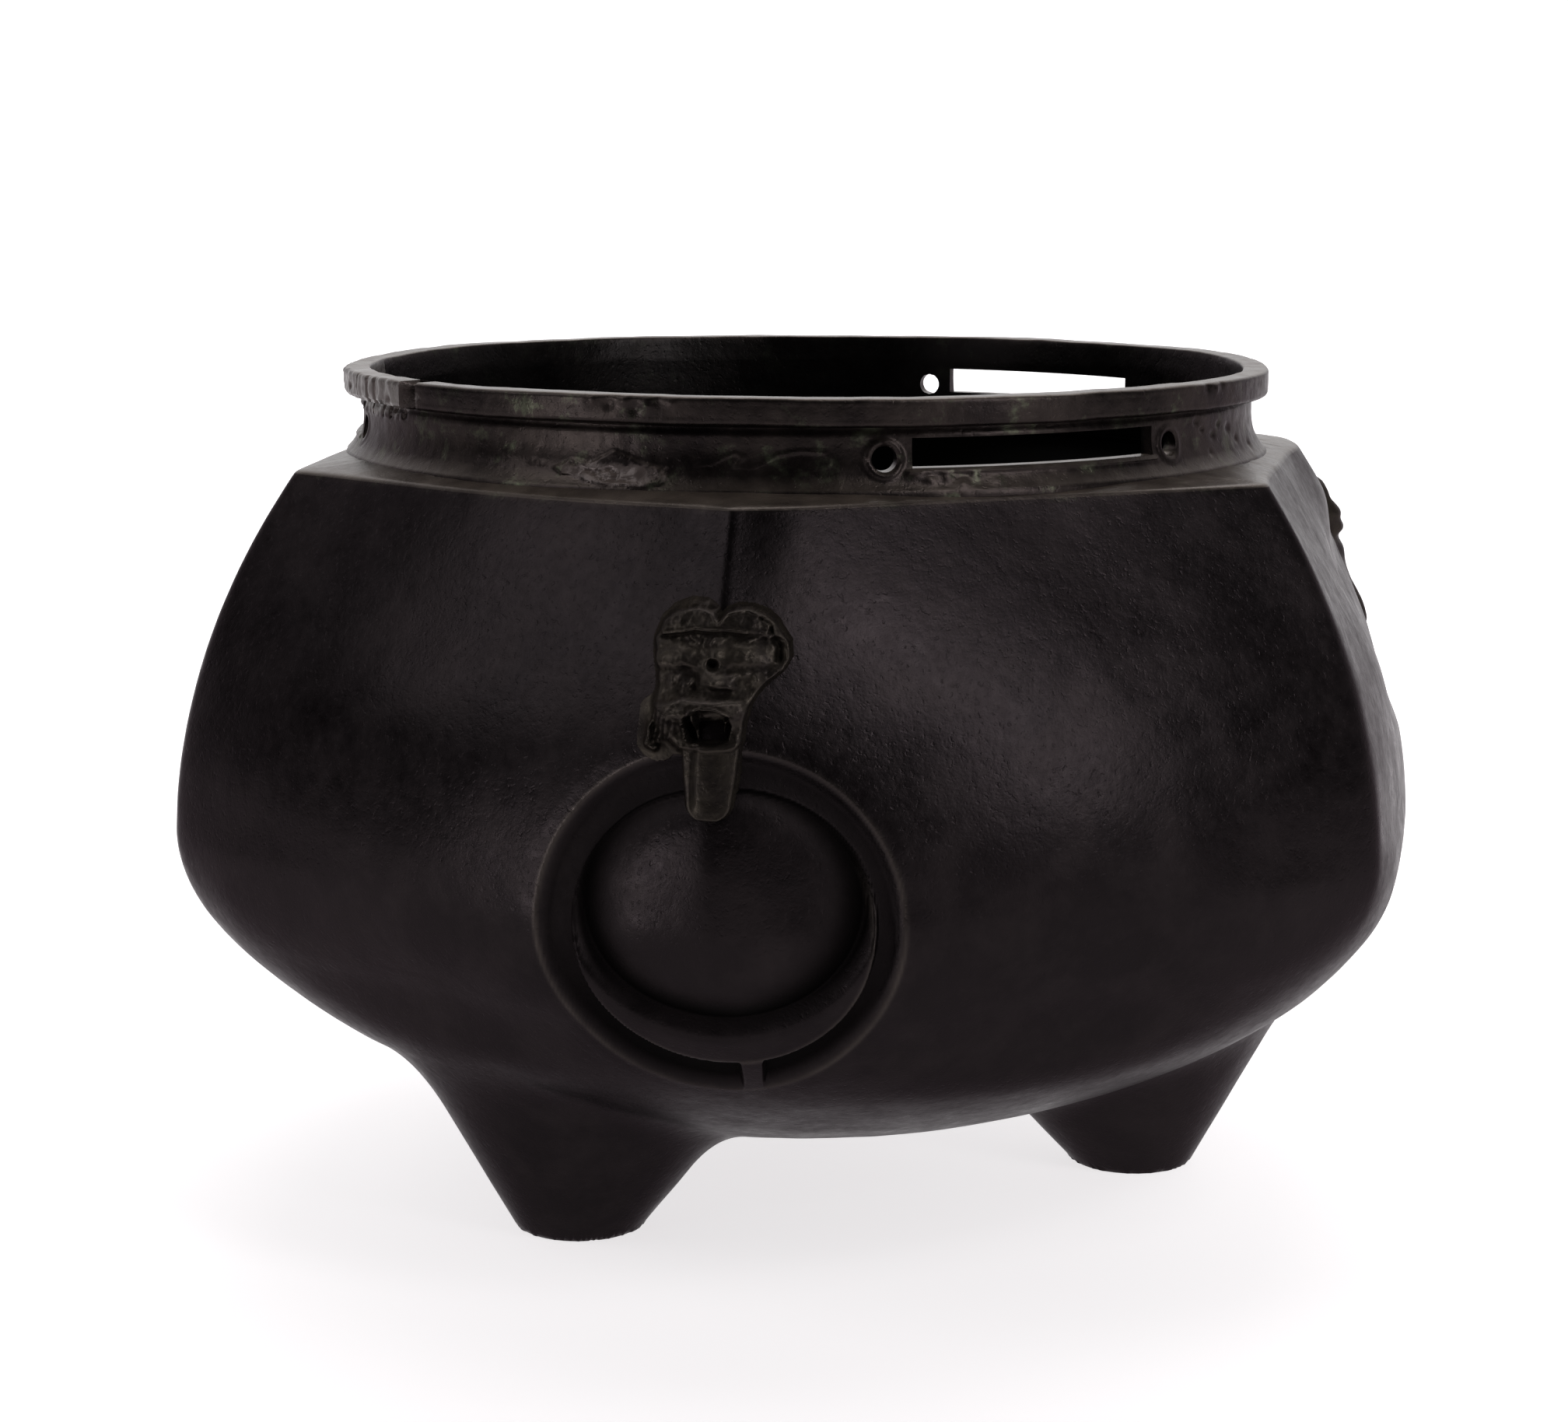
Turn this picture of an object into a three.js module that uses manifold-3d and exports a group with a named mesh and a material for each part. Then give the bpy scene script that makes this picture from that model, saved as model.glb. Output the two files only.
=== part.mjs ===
import * as THREE from 'three';
import { mergeVertices } from 'three/addons/utils/BufferGeometryUtils.js';
import Module from 'manifold-3d';

// A six-sided bronze brazier, cast in one piece. Lengths are in millimetres and angles in degrees. The
// origin is on the vessel's axis at floor level. A bearing is counted about the axis from -Y towards +X,
// and the corner at bearing 0 carries the front mask.

// Vessel
const creaseHeight = 182.4;
const widestHeight = 96.9;
const baseClearance = 17;
const bellyRadius = 164.1;
const wall = 4.5;
const cornerBearings = [0, 60, 115, 180, 240, 300];

// Curve of the belly over its corners: how far above the crease and below the underside each half of the
// curve would run to reach the axis, and the powers of its superellipse.
const upperOvershoot = 67.3;
const upperPower = 1.84;
const lowerOvershoot = 6.3;
const lowerPower = 1.82;
const lowerRadiusPower = 1.72;
const baseBlend = 6;

// How round the plan is (0 flat-sided, 1 a circle) by level. Level 1 is the crease, 0 the widest height
// and -1 the underside.
const roundness = [[-1, 1], [-0.62, 1], [-0.32, 0.35], [0, 0.5], [0.38, 0.44], [1, 0.07]];
const ridgeFadeStart = 0.1;
const ridgeFadeEnd = -0.3;

// Neck and lip, upwards from the crease
const neckRadius = 112;
const shoulderRise = 1.8;
const neckHeight = 14;
const neckSpread = 3.6;
const neckFlare = 1;
const neckFlareShare = 0.45;
const neckWall = 3;
const lipHeight = 6.4;
const lipOverhang = 4;
const lipEdge = 1;
const mouthStep = 0.6;
const shoulderLedge = 0.6;

// Three groups in the neck, each a long slot between two round holes
const slotGroups = [
  { bearing: 35.5, halfAngle: 16.5 },
  { bearing: 149.3, halfAngle: 15.6 },
  { bearing: 274, halfAngle: 16.5 },
];
const slotRise = 4.8;
const slotHeight = 6.6;
const holeBeyondSlot = 3.2;
const holeRise = 6.9;
const holeRadius = 2.85;

// Feet
const footBearings = [-32.8, 87.2, 207.2];
const footCircle = 85.6;
const footRadius = 16.4;
const footEdge = 1.2;
const footOuterSlope = 1.9;
const footInnerSlope = 1.05;
const footBlend = 9;
const footOuterReach = 47;
const footInnerReach = 40;

// Masks: the corner that each sits on, how far up it is shifted on that corner, and the share of the
// full rise that its snout has. The right one is worn nearly flat below the nose.
const masks = [
  { corner: 0, lift: 0, snout: 1 },
  { corner: 2, lift: 10, snout: 0.1 },
  { corner: 4, lift: 0, snout: 1 },
];
const snoutFrom = 0.6;
const maskBelowCrease = 19.9;
const maskHeight = 27;
const maskHalfWidth = 14;
const jawHalfWidth = 6.6;
const jawShare = 0.18;
const cheekShare = 0.48;
const browTaper = 1.5;
const browShare = 0.22;
const cleftDepth = 2.4;
const cleftSpread = 0.16;
const templeDrop = 4.5;
const maskThickness = 2.6;
const maskEdge = 0.2;
const maskRimShare = 0.22;
const maskFlatness = 0.55;

// Relief of half a mask: where each feature lies (as shares across the half face and down the mask), how
// far it spreads both ways, and how far it rises from the face. In order: brow, line under the brows,
// eye, nose, muzzle and the mouth sunk into the muzzle.
const maskFeatures = [
  { across: 0.5, down: 0.11, wide: 0.3, high: 0.074, rise: 1.3 },
  { across: 0, down: 0.21, wide: 0.75, high: 0.03, rise: -1.1 },
  { across: 0.42, down: 0.39, wide: 0.16, high: 0.07, rise: 1.5 },
  { across: 0, down: 0.46, wide: 0.18, high: 0.126, rise: 3.2 },
  { across: 0, down: 0.7, wide: 0.85, high: 0.133, rise: 5.6 },
  { across: 0, down: 0.84, wide: 0.42, high: 0.08, rise: -4.6 },
];

// Tongue hanging from the mouth over the top of the ring groove
const tongueDrop = 16.5;
const tongueRoot = 2;
const tongueHalfWidth = 6.6;
const tongueTaper = 0.66;
const tongueRoundShare = 0.62;
const tongueEnd = 0.85;
const tongueThickness = 2.8;
const tongueCrown = 0.45;
const tongueThinning = 0.35;

// Ring groove under each mask: radii from the ring's centre, and depths as shares of the wall. Widths
// across a corner are laid off as arcs at acrossRadius, for the masks too.
const ringGap = 0.5;
const acrossRadius = 150;
const grooveInner = 31;
const grooveOuter = 37;
const grooveRim = 39.3;
const grooveDepth = 0.6;
const dishRaise = 8.5;
const dishInner = 17;
const dishValley = 28.5;
const dishOuter = 33.5;
const dishDepth = 0.5;
const dishHeightShare = 0.92;
const bridgeOffset = 9;
const bridgeWidth = 5.4;

// Fineness
const columns = 54;
const innerColumns = 30;
const lowerRings = 9;
const upperRings = 7;
const innerLowerRings = 6;
const innerUpperRings = 4;
const footColumns = 20;
const footRings = 5;
const maskColumns = 12;
const maskRows = 13;
const tongueColumns = 4;
const tongueRows = 6;
const ringSteps = 30;
const slotSteps = 8;
const holeSides = 12;
const cutOverrun = 4;
const weldDistance = 1e-4;

// Levels and radii that follow
const upperReach = creaseHeight - widestHeight + upperOvershoot;
const lowerReach = widestHeight - baseClearance + lowerOvershoot;
const neckBaseHeight = creaseHeight + shoulderRise;
const lipBottom = neckBaseHeight + neckHeight;
const totalHeight = lipBottom + lipHeight;
const neckBaseRadius = neckRadius + neckSpread;
const neckBore = neckRadius - neckWall;
const lipRadius = neckRadius + lipOverhang;
const maskTop = creaseHeight - maskBelowCrease;
const maskChin = maskTop - maskHeight;
const ringHeight = maskChin - ringGap - grooveRim;

const wasm = await Module();
wasm.setup();

const radians = THREE.MathUtils.degToRad;
const { lerp, smoothstep, clamp } = THREE.MathUtils;

function bump(distance, width) {
  return Math.exp(-((distance / width) ** 2));
}

// The smaller of two values with a rounded change from one to the other
function softMin(a, b, blend) {
  const near = Math.max(blend - Math.abs(a - b), 0) / blend;
  return Math.min(a, b) - (near * near * blend) / 4;
}

function softMax(a, b, blend) {
  return -softMin(-a, -b, blend);
}

function along(table, value) {
  const last = table.length - 1;
  if (value <= table[0][0]) return table[0][1];
  for (let i = 0; i < last; i += 1) {
    const [start, from] = table[i];
    const [end, to] = table[i + 1];
    if (value <= end) return lerp(from, to, (value - start) / (end - start));
  }
  return table[last][1];
}

// Position along the ring of corners, 60 for each side, from a true bearing and back
const sideCount = cornerBearings.length;
const sideSpan = 360 / sideCount;
const bearingsRound = [...cornerBearings, cornerBearings[0] + 360];

function phaseOf(bearing) {
  const turned = THREE.MathUtils.euclideanModulo(bearing - cornerBearings[0], 360) + cornerBearings[0];
  return along(bearingsRound.map((corner, i) => [corner, i * sideSpan]), turned);
}

function bearingOf(phase) {
  return along(bearingsRound.map((corner, i) => [i * sideSpan, corner]), phase);
}

function levelOf(height) {
  const above = height - widestHeight;
  return above > 0 ? above / (creaseHeight - widestHeight) : above / (widestHeight - baseClearance);
}

// Share of the corner radius that the wall keeps at a bearing: 1 at a corner, least at a side's middle
function planShare(bearing, height) {
  const phase = phaseOf(bearing);
  const level = levelOf(height);
  const halfSide = radians(sideSpan / 2);
  const fromMiddle = radians(Math.abs(THREE.MathUtils.euclideanModulo(phase, sideSpan) - sideSpan / 2));
  const flat = Math.cos(halfSide) / Math.cos(fromMiddle);
  const wave = 1 - ((1 - Math.cos(halfSide)) * (1 - Math.cos(radians(phase * sideCount)))) / 2;
  const fade = 1 - smoothstep(level, ridgeFadeEnd, ridgeFadeStart);
  const side = lerp(flat, wave, fade);
  return side + (1 - side) * along(roundness, level);
}

// Radius over a corner at a height between the widest level and the crease
function upperRadius(height, inset) {
  const rise = (height - widestHeight) / (upperReach - inset);
  return (bellyRadius - inset) * Math.sqrt(1 - rise ** upperPower);
}

// Height of the underside at a distance from the axis, without its feet
function undersideHeight(radius, inset) {
  const out = clamp(radius / (bellyRadius - inset), 0, 1);
  const drop = (1 - out ** lowerRadiusPower) ** (1 / lowerPower);
  return softMax(widestHeight - (lowerReach - inset) * drop, baseClearance + inset, baseBlend);
}

function lowerRadius(height, inset) {
  const drop = clamp((widestHeight - height) / (lowerReach - inset), 0, 1);
  return (bellyRadius - inset) * (1 - drop ** lowerPower) ** (1 / lowerRadiusPower);
}

function wallRadius(bearing, height) {
  const corner = height > widestHeight ? upperRadius(height, 0) : lowerRadius(height, 0);
  return corner * planShare(bearing, height);
}

function place(radius, bearing, height) {
  const turn = radians(bearing);
  return new THREE.Vector3(radius * Math.sin(turn), -radius * Math.cos(turn), height);
}

function solidOf(geometry) {
  const bare = geometry.clone();
  bare.deleteAttribute('normal');
  bare.deleteAttribute('uv');
  const merged = mergeVertices(bare, weldDistance);
  const corners = merged.index.array;
  const triangles = [];
  for (let i = 0; i < corners.length; i += 3) {
    const [a, b, c] = corners.slice(i, i + 3);
    if (a !== b && b !== c && c !== a) triangles.push(a, b, c);
  }
  const mesh = new wasm.Mesh({
    numProp: 3,
    vertProperties: new Float32Array(merged.attributes.position.array),
    triVerts: new Uint32Array(triangles),
  });
  return new wasm.Manifold(mesh);
}

function geometryOf(solid) {
  const mesh = solid.getMesh();
  const geometry = new THREE.BufferGeometry();
  geometry.setAttribute('position', new THREE.BufferAttribute(mesh.vertProperties, 3));
  geometry.setIndex(new THREE.BufferAttribute(mesh.triVerts, 1));
  geometry.computeVertexNormals();
  return geometry;
}

function moveVertices(geometry, move) {
  const position = geometry.attributes.position;
  const point = new THREE.Vector3();
  for (let i = 0; i < position.count; i += 1) {
    point.fromBufferAttribute(position, i);
    const moved = move(point, i);
    position.setXYZ(i, moved.x, moved.y, moved.z);
  }
  return geometry;
}

// Points of the belly's profile over a corner, from the axis below up to the crease. They follow the
// six-sided plan, and the one on the crease stays outside the neck's base.
function bellyProfile(inset, lowerCount, upperCount) {
  const points = [];
  for (let i = 0; i < lowerCount; i += 1) {
    const swing = Math.cos(((i / lowerCount) * Math.PI) / 2);
    const radius = (bellyRadius - inset) * (1 - swing ** 2) ** (1 / lowerRadiusPower);
    points.push({ radius, height: undersideHeight(radius, inset), sided: true, least: 0 });
  }
  const top = creaseHeight - inset;
  for (let i = 0; i <= upperCount; i += 1) {
    const height = lerp(widestHeight, top, i / upperCount);
    const least = i === upperCount ? neckBaseRadius - inset + shoulderLedge : 0;
    points.push({ radius: upperRadius(height, inset), height, sided: true, least });
  }
  return points;
}

function round(radius, height) {
  return { radius, height, sided: false };
}

function outerProfile() {
  return [
    ...bellyProfile(0, lowerRings, upperRings),
    round(neckBaseRadius, neckBaseHeight),
    round(neckRadius + neckFlare, lerp(neckBaseHeight, lipBottom, neckFlareShare)),
    round(neckRadius, lipBottom - lipEdge),
    round(lipRadius - lipEdge / 2, lipBottom),
    round(lipRadius, lipBottom + lipEdge),
    round(lipRadius, totalHeight - lipEdge),
    round(lipRadius - lipEdge, totalHeight),
    round(0, totalHeight),
  ];
}

function innerProfile() {
  return [
    ...bellyProfile(wall, innerLowerRings, innerUpperRings),
    round(neckBore, creaseHeight - wall + shoulderLedge),
    round(neckBore, lipBottom),
    round(neckBore + mouthStep, totalHeight - lipEdge),
    round(neckBore + mouthStep, totalHeight + cutOverrun),
    round(0, totalHeight + cutOverrun),
  ];
}

// A turned body whose marked points are pushed in to the six-sided plan
function sidedBody(profile, columnCount) {
  const outline = profile.map((point) => new THREE.Vector2(point.radius, point.height));
  const geometry = new THREE.LatheGeometry(outline, columnCount);
  moveVertices(geometry, (point, i) => {
    const { radius, height, sided, least } = profile[i % profile.length];
    const bearing = bearingOf((Math.floor(i / profile.length) / columnCount) * 360);
    const across = sided ? Math.max(radius * planShare(bearing, height), least) : radius;
    return place(across, bearing, height);
  });
  return solidOf(geometry);
}

// Height of the underside with the foot at a bearing, at a place given from the foot's own axis
function footSurface(bearing, direction, distance) {
  const axis = place(footCircle, bearing, 0);
  const turn = radians(bearing + direction);
  const x = axis.x + distance * Math.sin(turn);
  const y = axis.y - distance * Math.cos(turn);
  const radius = Math.hypot(x, y);
  const at = THREE.MathUtils.radToDeg(Math.atan2(x, -y));
  const share = planShare(at, undersideHeight(radius, 0));
  const belly = undersideHeight(radius / share, 0);
  const slope = lerp(footInnerSlope, footOuterSlope, (1 + Math.cos(radians(direction))) / 2);
  const side = footEdge + Math.max(distance - footRadius, 0) * slope;
  return { x, y, belly, side };
}

// A foot from its flat sole up to where its flared side has melted into the underside
function foot(bearing) {
  const outline = [new THREE.Vector2(0, 0), new THREE.Vector2(footRadius - footEdge, 0)];
  for (let i = 0; i <= footRings; i += 1) outline.push(new THREE.Vector2(1, i + 1));
  outline.push(new THREE.Vector2(0, footRings + 2));
  const geometry = new THREE.LatheGeometry(outline, footColumns);
  const rows = outline.length;
  moveVertices(geometry, (point, i) => {
    const row = i % rows;
    const direction = (Math.floor(i / rows) / footColumns) * 360;
    if (row < 2) {
      const sole = footSurface(bearing, direction, outline[row].x);
      return new THREE.Vector3(sole.x, sole.y, 0);
    }
    const centre = place(footCircle, bearing, 0);
    if (row === rows - 1) {
      return new THREE.Vector3(centre.x, centre.y, undersideHeight(footCircle, 0) + wall / 2);
    }
    const reach = lerp(footInnerReach, footOuterReach, (1 + Math.cos(radians(direction))) / 2);
    const distance = lerp(footRadius, reach, (row - 2) / footRings);
    const spot = footSurface(bearing, direction, distance);
    const height = softMin(spot.belly, spot.side, footBlend);
    const buried = row === rows - 2 ? spot.belly + wall / 3 : Math.max(height, footEdge);
    return new THREE.Vector3(spot.x, spot.y, buried);
  });
  return solidOf(geometry);
}

// Lays a flat piece on a corner: x runs across it, y up it and z out of it
function ontoCorner(point, bearing, flatness) {
  const ridge = wallRadius(bearing, point.y);
  const at = bearing + THREE.MathUtils.radToDeg(point.x / acrossRadius);
  const base = lerp(wallRadius(at, point.y), ridge, point.z > 0 ? flatness : 0);
  return place(base + point.z, at, point.y);
}

// Relief of the mask above its base, at shares across (-1 to 1) and down
function maskRelief(across, down, snout) {
  const u = Math.abs(across);
  const rim = smoothstep(1 - u, 0, maskRimShare) * smoothstep(down, -maskEdge, maskRimShare / 2);
  const rises = maskFeatures.map((part) => {
    const rise = part.rise * (part.down > snoutFrom ? snout : 1);
    return rise * bump(u - part.across, part.wide) * bump(down - part.down, part.high);
  });
  return rises.reduce((sum, rise) => sum + rise, maskThickness) * rim;
}

function maskSolid(bearing, lift, snout) {
  const geometry = new THREE.BoxGeometry(2, 1, 1, maskColumns, maskRows, 1);
  moveVertices(geometry, (point) => {
    const across = point.x;
    const cleft = cleftDepth * bump(across, cleftSpread) + templeDrop * across ** 6;
    const drop = lerp(maskHeight, cleft, point.y + 0.5);
    const down = drop / maskHeight;
    const cheeks = lerp(jawHalfWidth, maskHalfWidth, smoothstep(1 - down, jawShare, cheekShare));
    const halfWidth = cheeks - browTaper * smoothstep(-down, -browShare, 0);
    const out = point.z > 0 ? Math.max(maskRelief(across, down, snout), maskEdge) : -wall / 2;
    const flat = new THREE.Vector3(across * halfWidth, maskTop - drop + lift, out);
    return ontoCorner(flat, bearing, maskFlatness);
  });
  return solidOf(geometry);
}

function tongueSolid(bearing, lift) {
  const root = maskChin + tongueRoot;
  const tip = maskChin - tongueDrop;
  const geometry = new THREE.BoxGeometry(2, 1, 1, tongueColumns, tongueRows, 1);
  moveVertices(geometry, (point) => {
    const across = point.x;
    const down = 0.5 - point.y;
    const rounding = Math.max(down - tongueRoundShare, 0) / (1 - tongueRoundShare);
    const taper = lerp(1, tongueTaper, down) * Math.sqrt(1 - tongueEnd * rounding ** 2);
    const crown = 1 - tongueCrown * across ** 2;
    const out = point.z > 0 ? tongueThickness * crown * (1 - tongueThinning * down) : -wall / 2;
    const flat = new THREE.Vector3(across * tongueHalfWidth * taper, lerp(root, tip, down) + lift, out);
    return ontoCorner(flat, bearing, 1);
  });
  return solidOf(geometry);
}

// Everything sunk into the wall under a mask: the C-shaped groove and the shallow dish inside it
function ringCutter(bearing, lift) {
  const turned = (outline) => {
    const points = outline.map(([radius, out]) => new THREE.Vector2(radius, out));
    const geometry = new THREE.LatheGeometry([...points, points[0].clone()], ringSteps);
    return solidOf(geometry.rotateX(Math.PI / 2));
  };
  const groove = turned([
    [grooveInner, -grooveDepth * wall],
    [grooveOuter, -grooveDepth * wall],
    [grooveRim, 0],
    [grooveRim, cutOverrun],
    [grooveInner, cutOverrun],
  ]);
  const dish = turned([
    [dishInner, 0],
    [(dishInner + dishValley) / 2, (-dishDepth * wall) / 2],
    [dishValley, -dishDepth * wall],
    [dishOuter, 0],
    [dishOuter, cutOverrun],
    [dishInner, cutOverrun],
  ]);
  const bridge = new THREE.BoxGeometry(bridgeWidth, grooveRim, 4 * cutOverrun);
  bridge.translate(bridgeOffset, -grooveRim, 0);
  const raised = dish.scale([1, dishHeightShare, 1]).translate([0, dishRaise, 0]);
  const sunk = groove.subtract(solidOf(bridge)).add(raised);
  const laid = geometryOf(sunk);
  moveVertices(laid, (point) => {
    const flat = new THREE.Vector3(point.x, point.y + ringHeight + lift, point.z);
    return ontoCorner(flat, bearing, 0);
  });
  return solidOf(laid);
}

// A slot follows the neck round, and a round hole stands at either end of it
function slotCutters({ bearing, halfAngle }) {
  const inside = neckBore - cutOverrun;
  const outside = lipRadius + cutOverrun;
  const start = radians(bearing - halfAngle - 90);
  const end = radians(bearing + halfAngle - 90);
  const plan = new THREE.Shape();
  plan.absarc(0, 0, outside, start, end, false);
  plan.absarc(0, 0, inside, end, start, true);
  plan.closePath();
  const slot = new THREE.ExtrudeGeometry(plan, {
    depth: slotHeight,
    bevelEnabled: false,
    curveSegments: slotSteps,
  });
  slot.translate(0, 0, neckBaseHeight + slotRise);
  const holes = [-halfAngle - holeBeyondSlot, halfAngle + holeBeyondSlot].map((side) => {
    const hole = new THREE.CylinderGeometry(holeRadius, holeRadius, outside - inside, holeSides);
    hole.translate(0, -(outside + inside) / 2, neckBaseHeight + holeRise);
    hole.rotateZ(radians(bearing + side));
    return solidOf(hole);
  });
  return [solidOf(slot), ...holes];
}

function brazierBody() {
  let body = sidedBody(outerProfile(), columns);
  for (const bearing of footBearings) body = body.add(foot(bearing));
  for (const { corner, lift } of masks) body = body.subtract(ringCutter(cornerBearings[corner], lift));
  for (const { corner, lift, snout } of masks) {
    const bearing = cornerBearings[corner];
    body = body.add(tongueSolid(bearing, lift)).add(maskSolid(bearing, lift, snout));
  }
  body = body.subtract(sidedBody(innerProfile(), innerColumns));
  for (const group of slotGroups) {
    for (const cutter of slotCutters(group)) body = body.subtract(cutter);
  }
  const bronze = new THREE.MeshStandardMaterial({ color: 0x3a302a, roughness: 0.5, metalness: 0.85 });
  const mesh = new THREE.Mesh(geometryOf(body), bronze);
  mesh.name = 'brazier_body';
  return mesh;
}

const brazier = new THREE.Group();
brazier.add(brazierBody());

export default brazier;
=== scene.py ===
import bpy
import math
import numpy as np
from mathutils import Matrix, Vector


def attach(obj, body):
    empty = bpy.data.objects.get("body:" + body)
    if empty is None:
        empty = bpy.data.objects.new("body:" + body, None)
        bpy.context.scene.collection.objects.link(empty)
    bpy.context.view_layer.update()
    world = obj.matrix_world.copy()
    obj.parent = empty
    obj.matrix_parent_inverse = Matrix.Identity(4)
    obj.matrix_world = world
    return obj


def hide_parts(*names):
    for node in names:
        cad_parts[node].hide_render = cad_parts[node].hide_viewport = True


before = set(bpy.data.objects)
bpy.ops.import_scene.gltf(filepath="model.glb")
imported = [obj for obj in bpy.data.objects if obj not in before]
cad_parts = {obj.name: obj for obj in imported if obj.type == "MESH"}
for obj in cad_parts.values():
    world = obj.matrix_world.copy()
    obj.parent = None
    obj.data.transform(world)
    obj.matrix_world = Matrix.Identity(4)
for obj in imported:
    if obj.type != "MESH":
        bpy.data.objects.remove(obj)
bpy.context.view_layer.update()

# Lengths are in millimetres until a mesh is made. A bearing is counted about the vessel's axis from -Y
# towards +X, and the front mask is on the corner at bearing 0.

# Belly: its levels, the radius over its corners, and the curves above and below its widest level
CREASE = 182.4
WIDEST = 96.9
BASE, BASE_SOFT = 17.0, 6.0
BELLY = 164.1
WALL = 4.5
UP_REACH, UP_POWER = 152.8, 1.84
LOW_REACH, LOW_POWER, LOW_RADIUS_POWER = 86.2, 1.82, 1.72

# Plan: the corners' bearings, how blunt a corner is in degrees, low down and at the crease, and how round
# the plan is (0 six-sided, 1 round) at levels from the base (-1) over the widest (0) to the crease (1)
CORNERS = np.array([0, 60, 115, 180, 240, 300, 360.0])
HALF_FACE = 30.0
BLUNT_LOW, BLUNT_HIGH = 0.8, 0.5
ROUND_LEVEL = [-1, -0.62, -0.32, 0, 0.38, 1]
ROUND_VALUE = [1, 0.98, 0.42, 0.48, 0.44, 0.07]

# Upper wall: the faces over the feet bow out towards the crease and the mask corners are cut back there,
# over so many degrees on their left and on their right
UPPER_WALL = 148
FACE_BOW, FACE_BOW_TURN = 4.0, 2.8
CORNER_CUT = 3.2
FRONT_CUT_WIDTHS, OTHER_CUT_WIDTHS = (9.0, 4.2), (2.2, 4.6)
# beside the right mask: bearing, half width in degrees and height of a bulge and of the hollow below it
BULGE_AT, BULGE_WIDE, BULGE = 104, 8, 4.0
HOLLOW_AT, HOLLOW_WIDE, HOLLOW = 94, 11, 2.2

# Neck and lip
NECK_START = 182.6
NECK_BASE = 184.2
NECK_BASE_RADIUS = 115.6
NECK = 112.0
NECK_ARC = 113
NECK_FLARE, NECK_FLARE_POWER = 9.0, 2.6
BORE = 109.0
LIP_BOTTOM = 198.2
TOP = 204.6
LIP = 116.0
MOUTH = 109.6
LIP_UNDER_ROUND, LIP_TOP_ROUND, MOUTH_ROUND = 1.1, 1.0, 0.6

# Slots as bearing and half width in degrees, and the holes beyond their ends
SLOTS = [(35.5, 16.5), (149.3, 15.6), (274.0, 16.5)]
SLOT_LOW, SLOT_HIGH = 189.0, 195.6
HOLE_BEYOND, HOLE_Z, HOLE_R = 3.2, 191.1, 2.85

# Feet: bearings, the circle they stand on, the sole, and the slopes of their outer and inner sides
FEET = [-32.8, 87.2, 207.2]
FOOT_CIRCLE, FOOT_RADIUS, FOOT_EDGE = 85.6, 16.4, 1.2
FOOT_OUT, FOOT_IN, FOOT_BLEND = 1.9, 1.05, 9.0
FOOT_TOP = 75

# Masks as corner and lift above the front one, with the share of relief that their snouts keep
MASKS = [(0.0, 0.0), (115.0, 10.0), (240.0, 0.0)]
SNOUTS = {"mask_front": 1.0, "mask_right": 0.22, "mask_left": 1.0}
RUBBED = 24

# Ring groove: the level of its centre, the radius at which its widths are laid off, its inner edge, floor
# and outer edge, its depth, how much further out its inner edge is on the right, and the lower stretch
RING_Z = 95.7
ACROSS = 150.0
RING_INNER, RING_FLOOR, RING_RIM, RING_DEPTH = 31.0, 37.0, 39.3, 2.7
RING_SHIFT, RING_STRETCH, RING_FIELD = 2.6, 1.06, 43
# the cushion inside it, as an oval, and the valley round the cushion
DISH_X, DISH_Y, DISH_WIDE, DISH_HIGH, DISH_DEPTH = 0.8, 6.9, 30.3, 28.0, 4.0
# the bridge left uncut at the bottom
BRIDGE_X, BRIDGE_LEAN, BRIDGE_HALF = 6.0, 0.06, 2.75


def smooth(x, lo, hi):
    t = np.clip((x - lo) / (hi - lo), 0, 1)
    return t * t * (3 - 2 * t)


def soft_max(a, b, k):
    near = np.maximum(k - np.abs(a - b), 0) / k
    return np.maximum(a, b) + near * near * k / 4


def soft_min(a, b, k):
    return -soft_max(-a, -b, k)


def smooth_table(x, xs, ys):
    """The table's values with no kink: each piece is a cubic whose slopes at its ends don't overshoot."""
    xs, ys = np.asarray(xs, float), np.asarray(ys, float)
    step = np.diff(xs)
    slope = np.diff(ys) / step
    ends = np.zeros(len(xs))
    same = slope[:-1] * slope[1:] > 0
    ends[1:-1][same] = 2 / (1 / slope[:-1][same] + 1 / slope[1:][same])
    x = np.clip(x, xs[0], xs[-1])
    i = np.clip(np.searchsorted(xs, x) - 1, 0, len(xs) - 2)
    t = (x - xs[i]) / step[i]
    a = 2 * t ** 3 - 3 * t ** 2 + 1
    b = t ** 3 - 2 * t ** 2 + t
    c = 3 * t ** 2 - 2 * t ** 3
    d = t ** 3 - t ** 2
    return a * ys[i] + b * step[i] * ends[i] + c * ys[i + 1] + d * step[i] * ends[i + 1]


def bell(distance, width, power=2.0):
    """1 at no distance, falling off smoothly over the width."""
    return np.exp(-(np.abs(distance) / width) ** power)


def turn_from(bearing, centre):
    return np.mod(bearing - centre + 180, 360) - 180


def about_axis(radius, bearing, z):
    turn = np.radians(bearing)
    return np.stack([radius * np.sin(turn), -radius * np.cos(turn), z], -1)


def line_distance(x, y, points):
    """Distance of each place from the line through the points."""
    best = np.full_like(x, 1e9)
    for (x0, y0), (x1, y1) in zip(points[:-1], points[1:]):
        dx, dy = x1 - x0, y1 - y0
        t = np.clip(((x - x0) * dx + (y - y0) * dy) / (dx ** 2 + dy ** 2), 0, 1)
        best = np.minimum(best, np.hypot(x - x0 - t * dx, y - y0 - t * dy))
    return best


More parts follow.
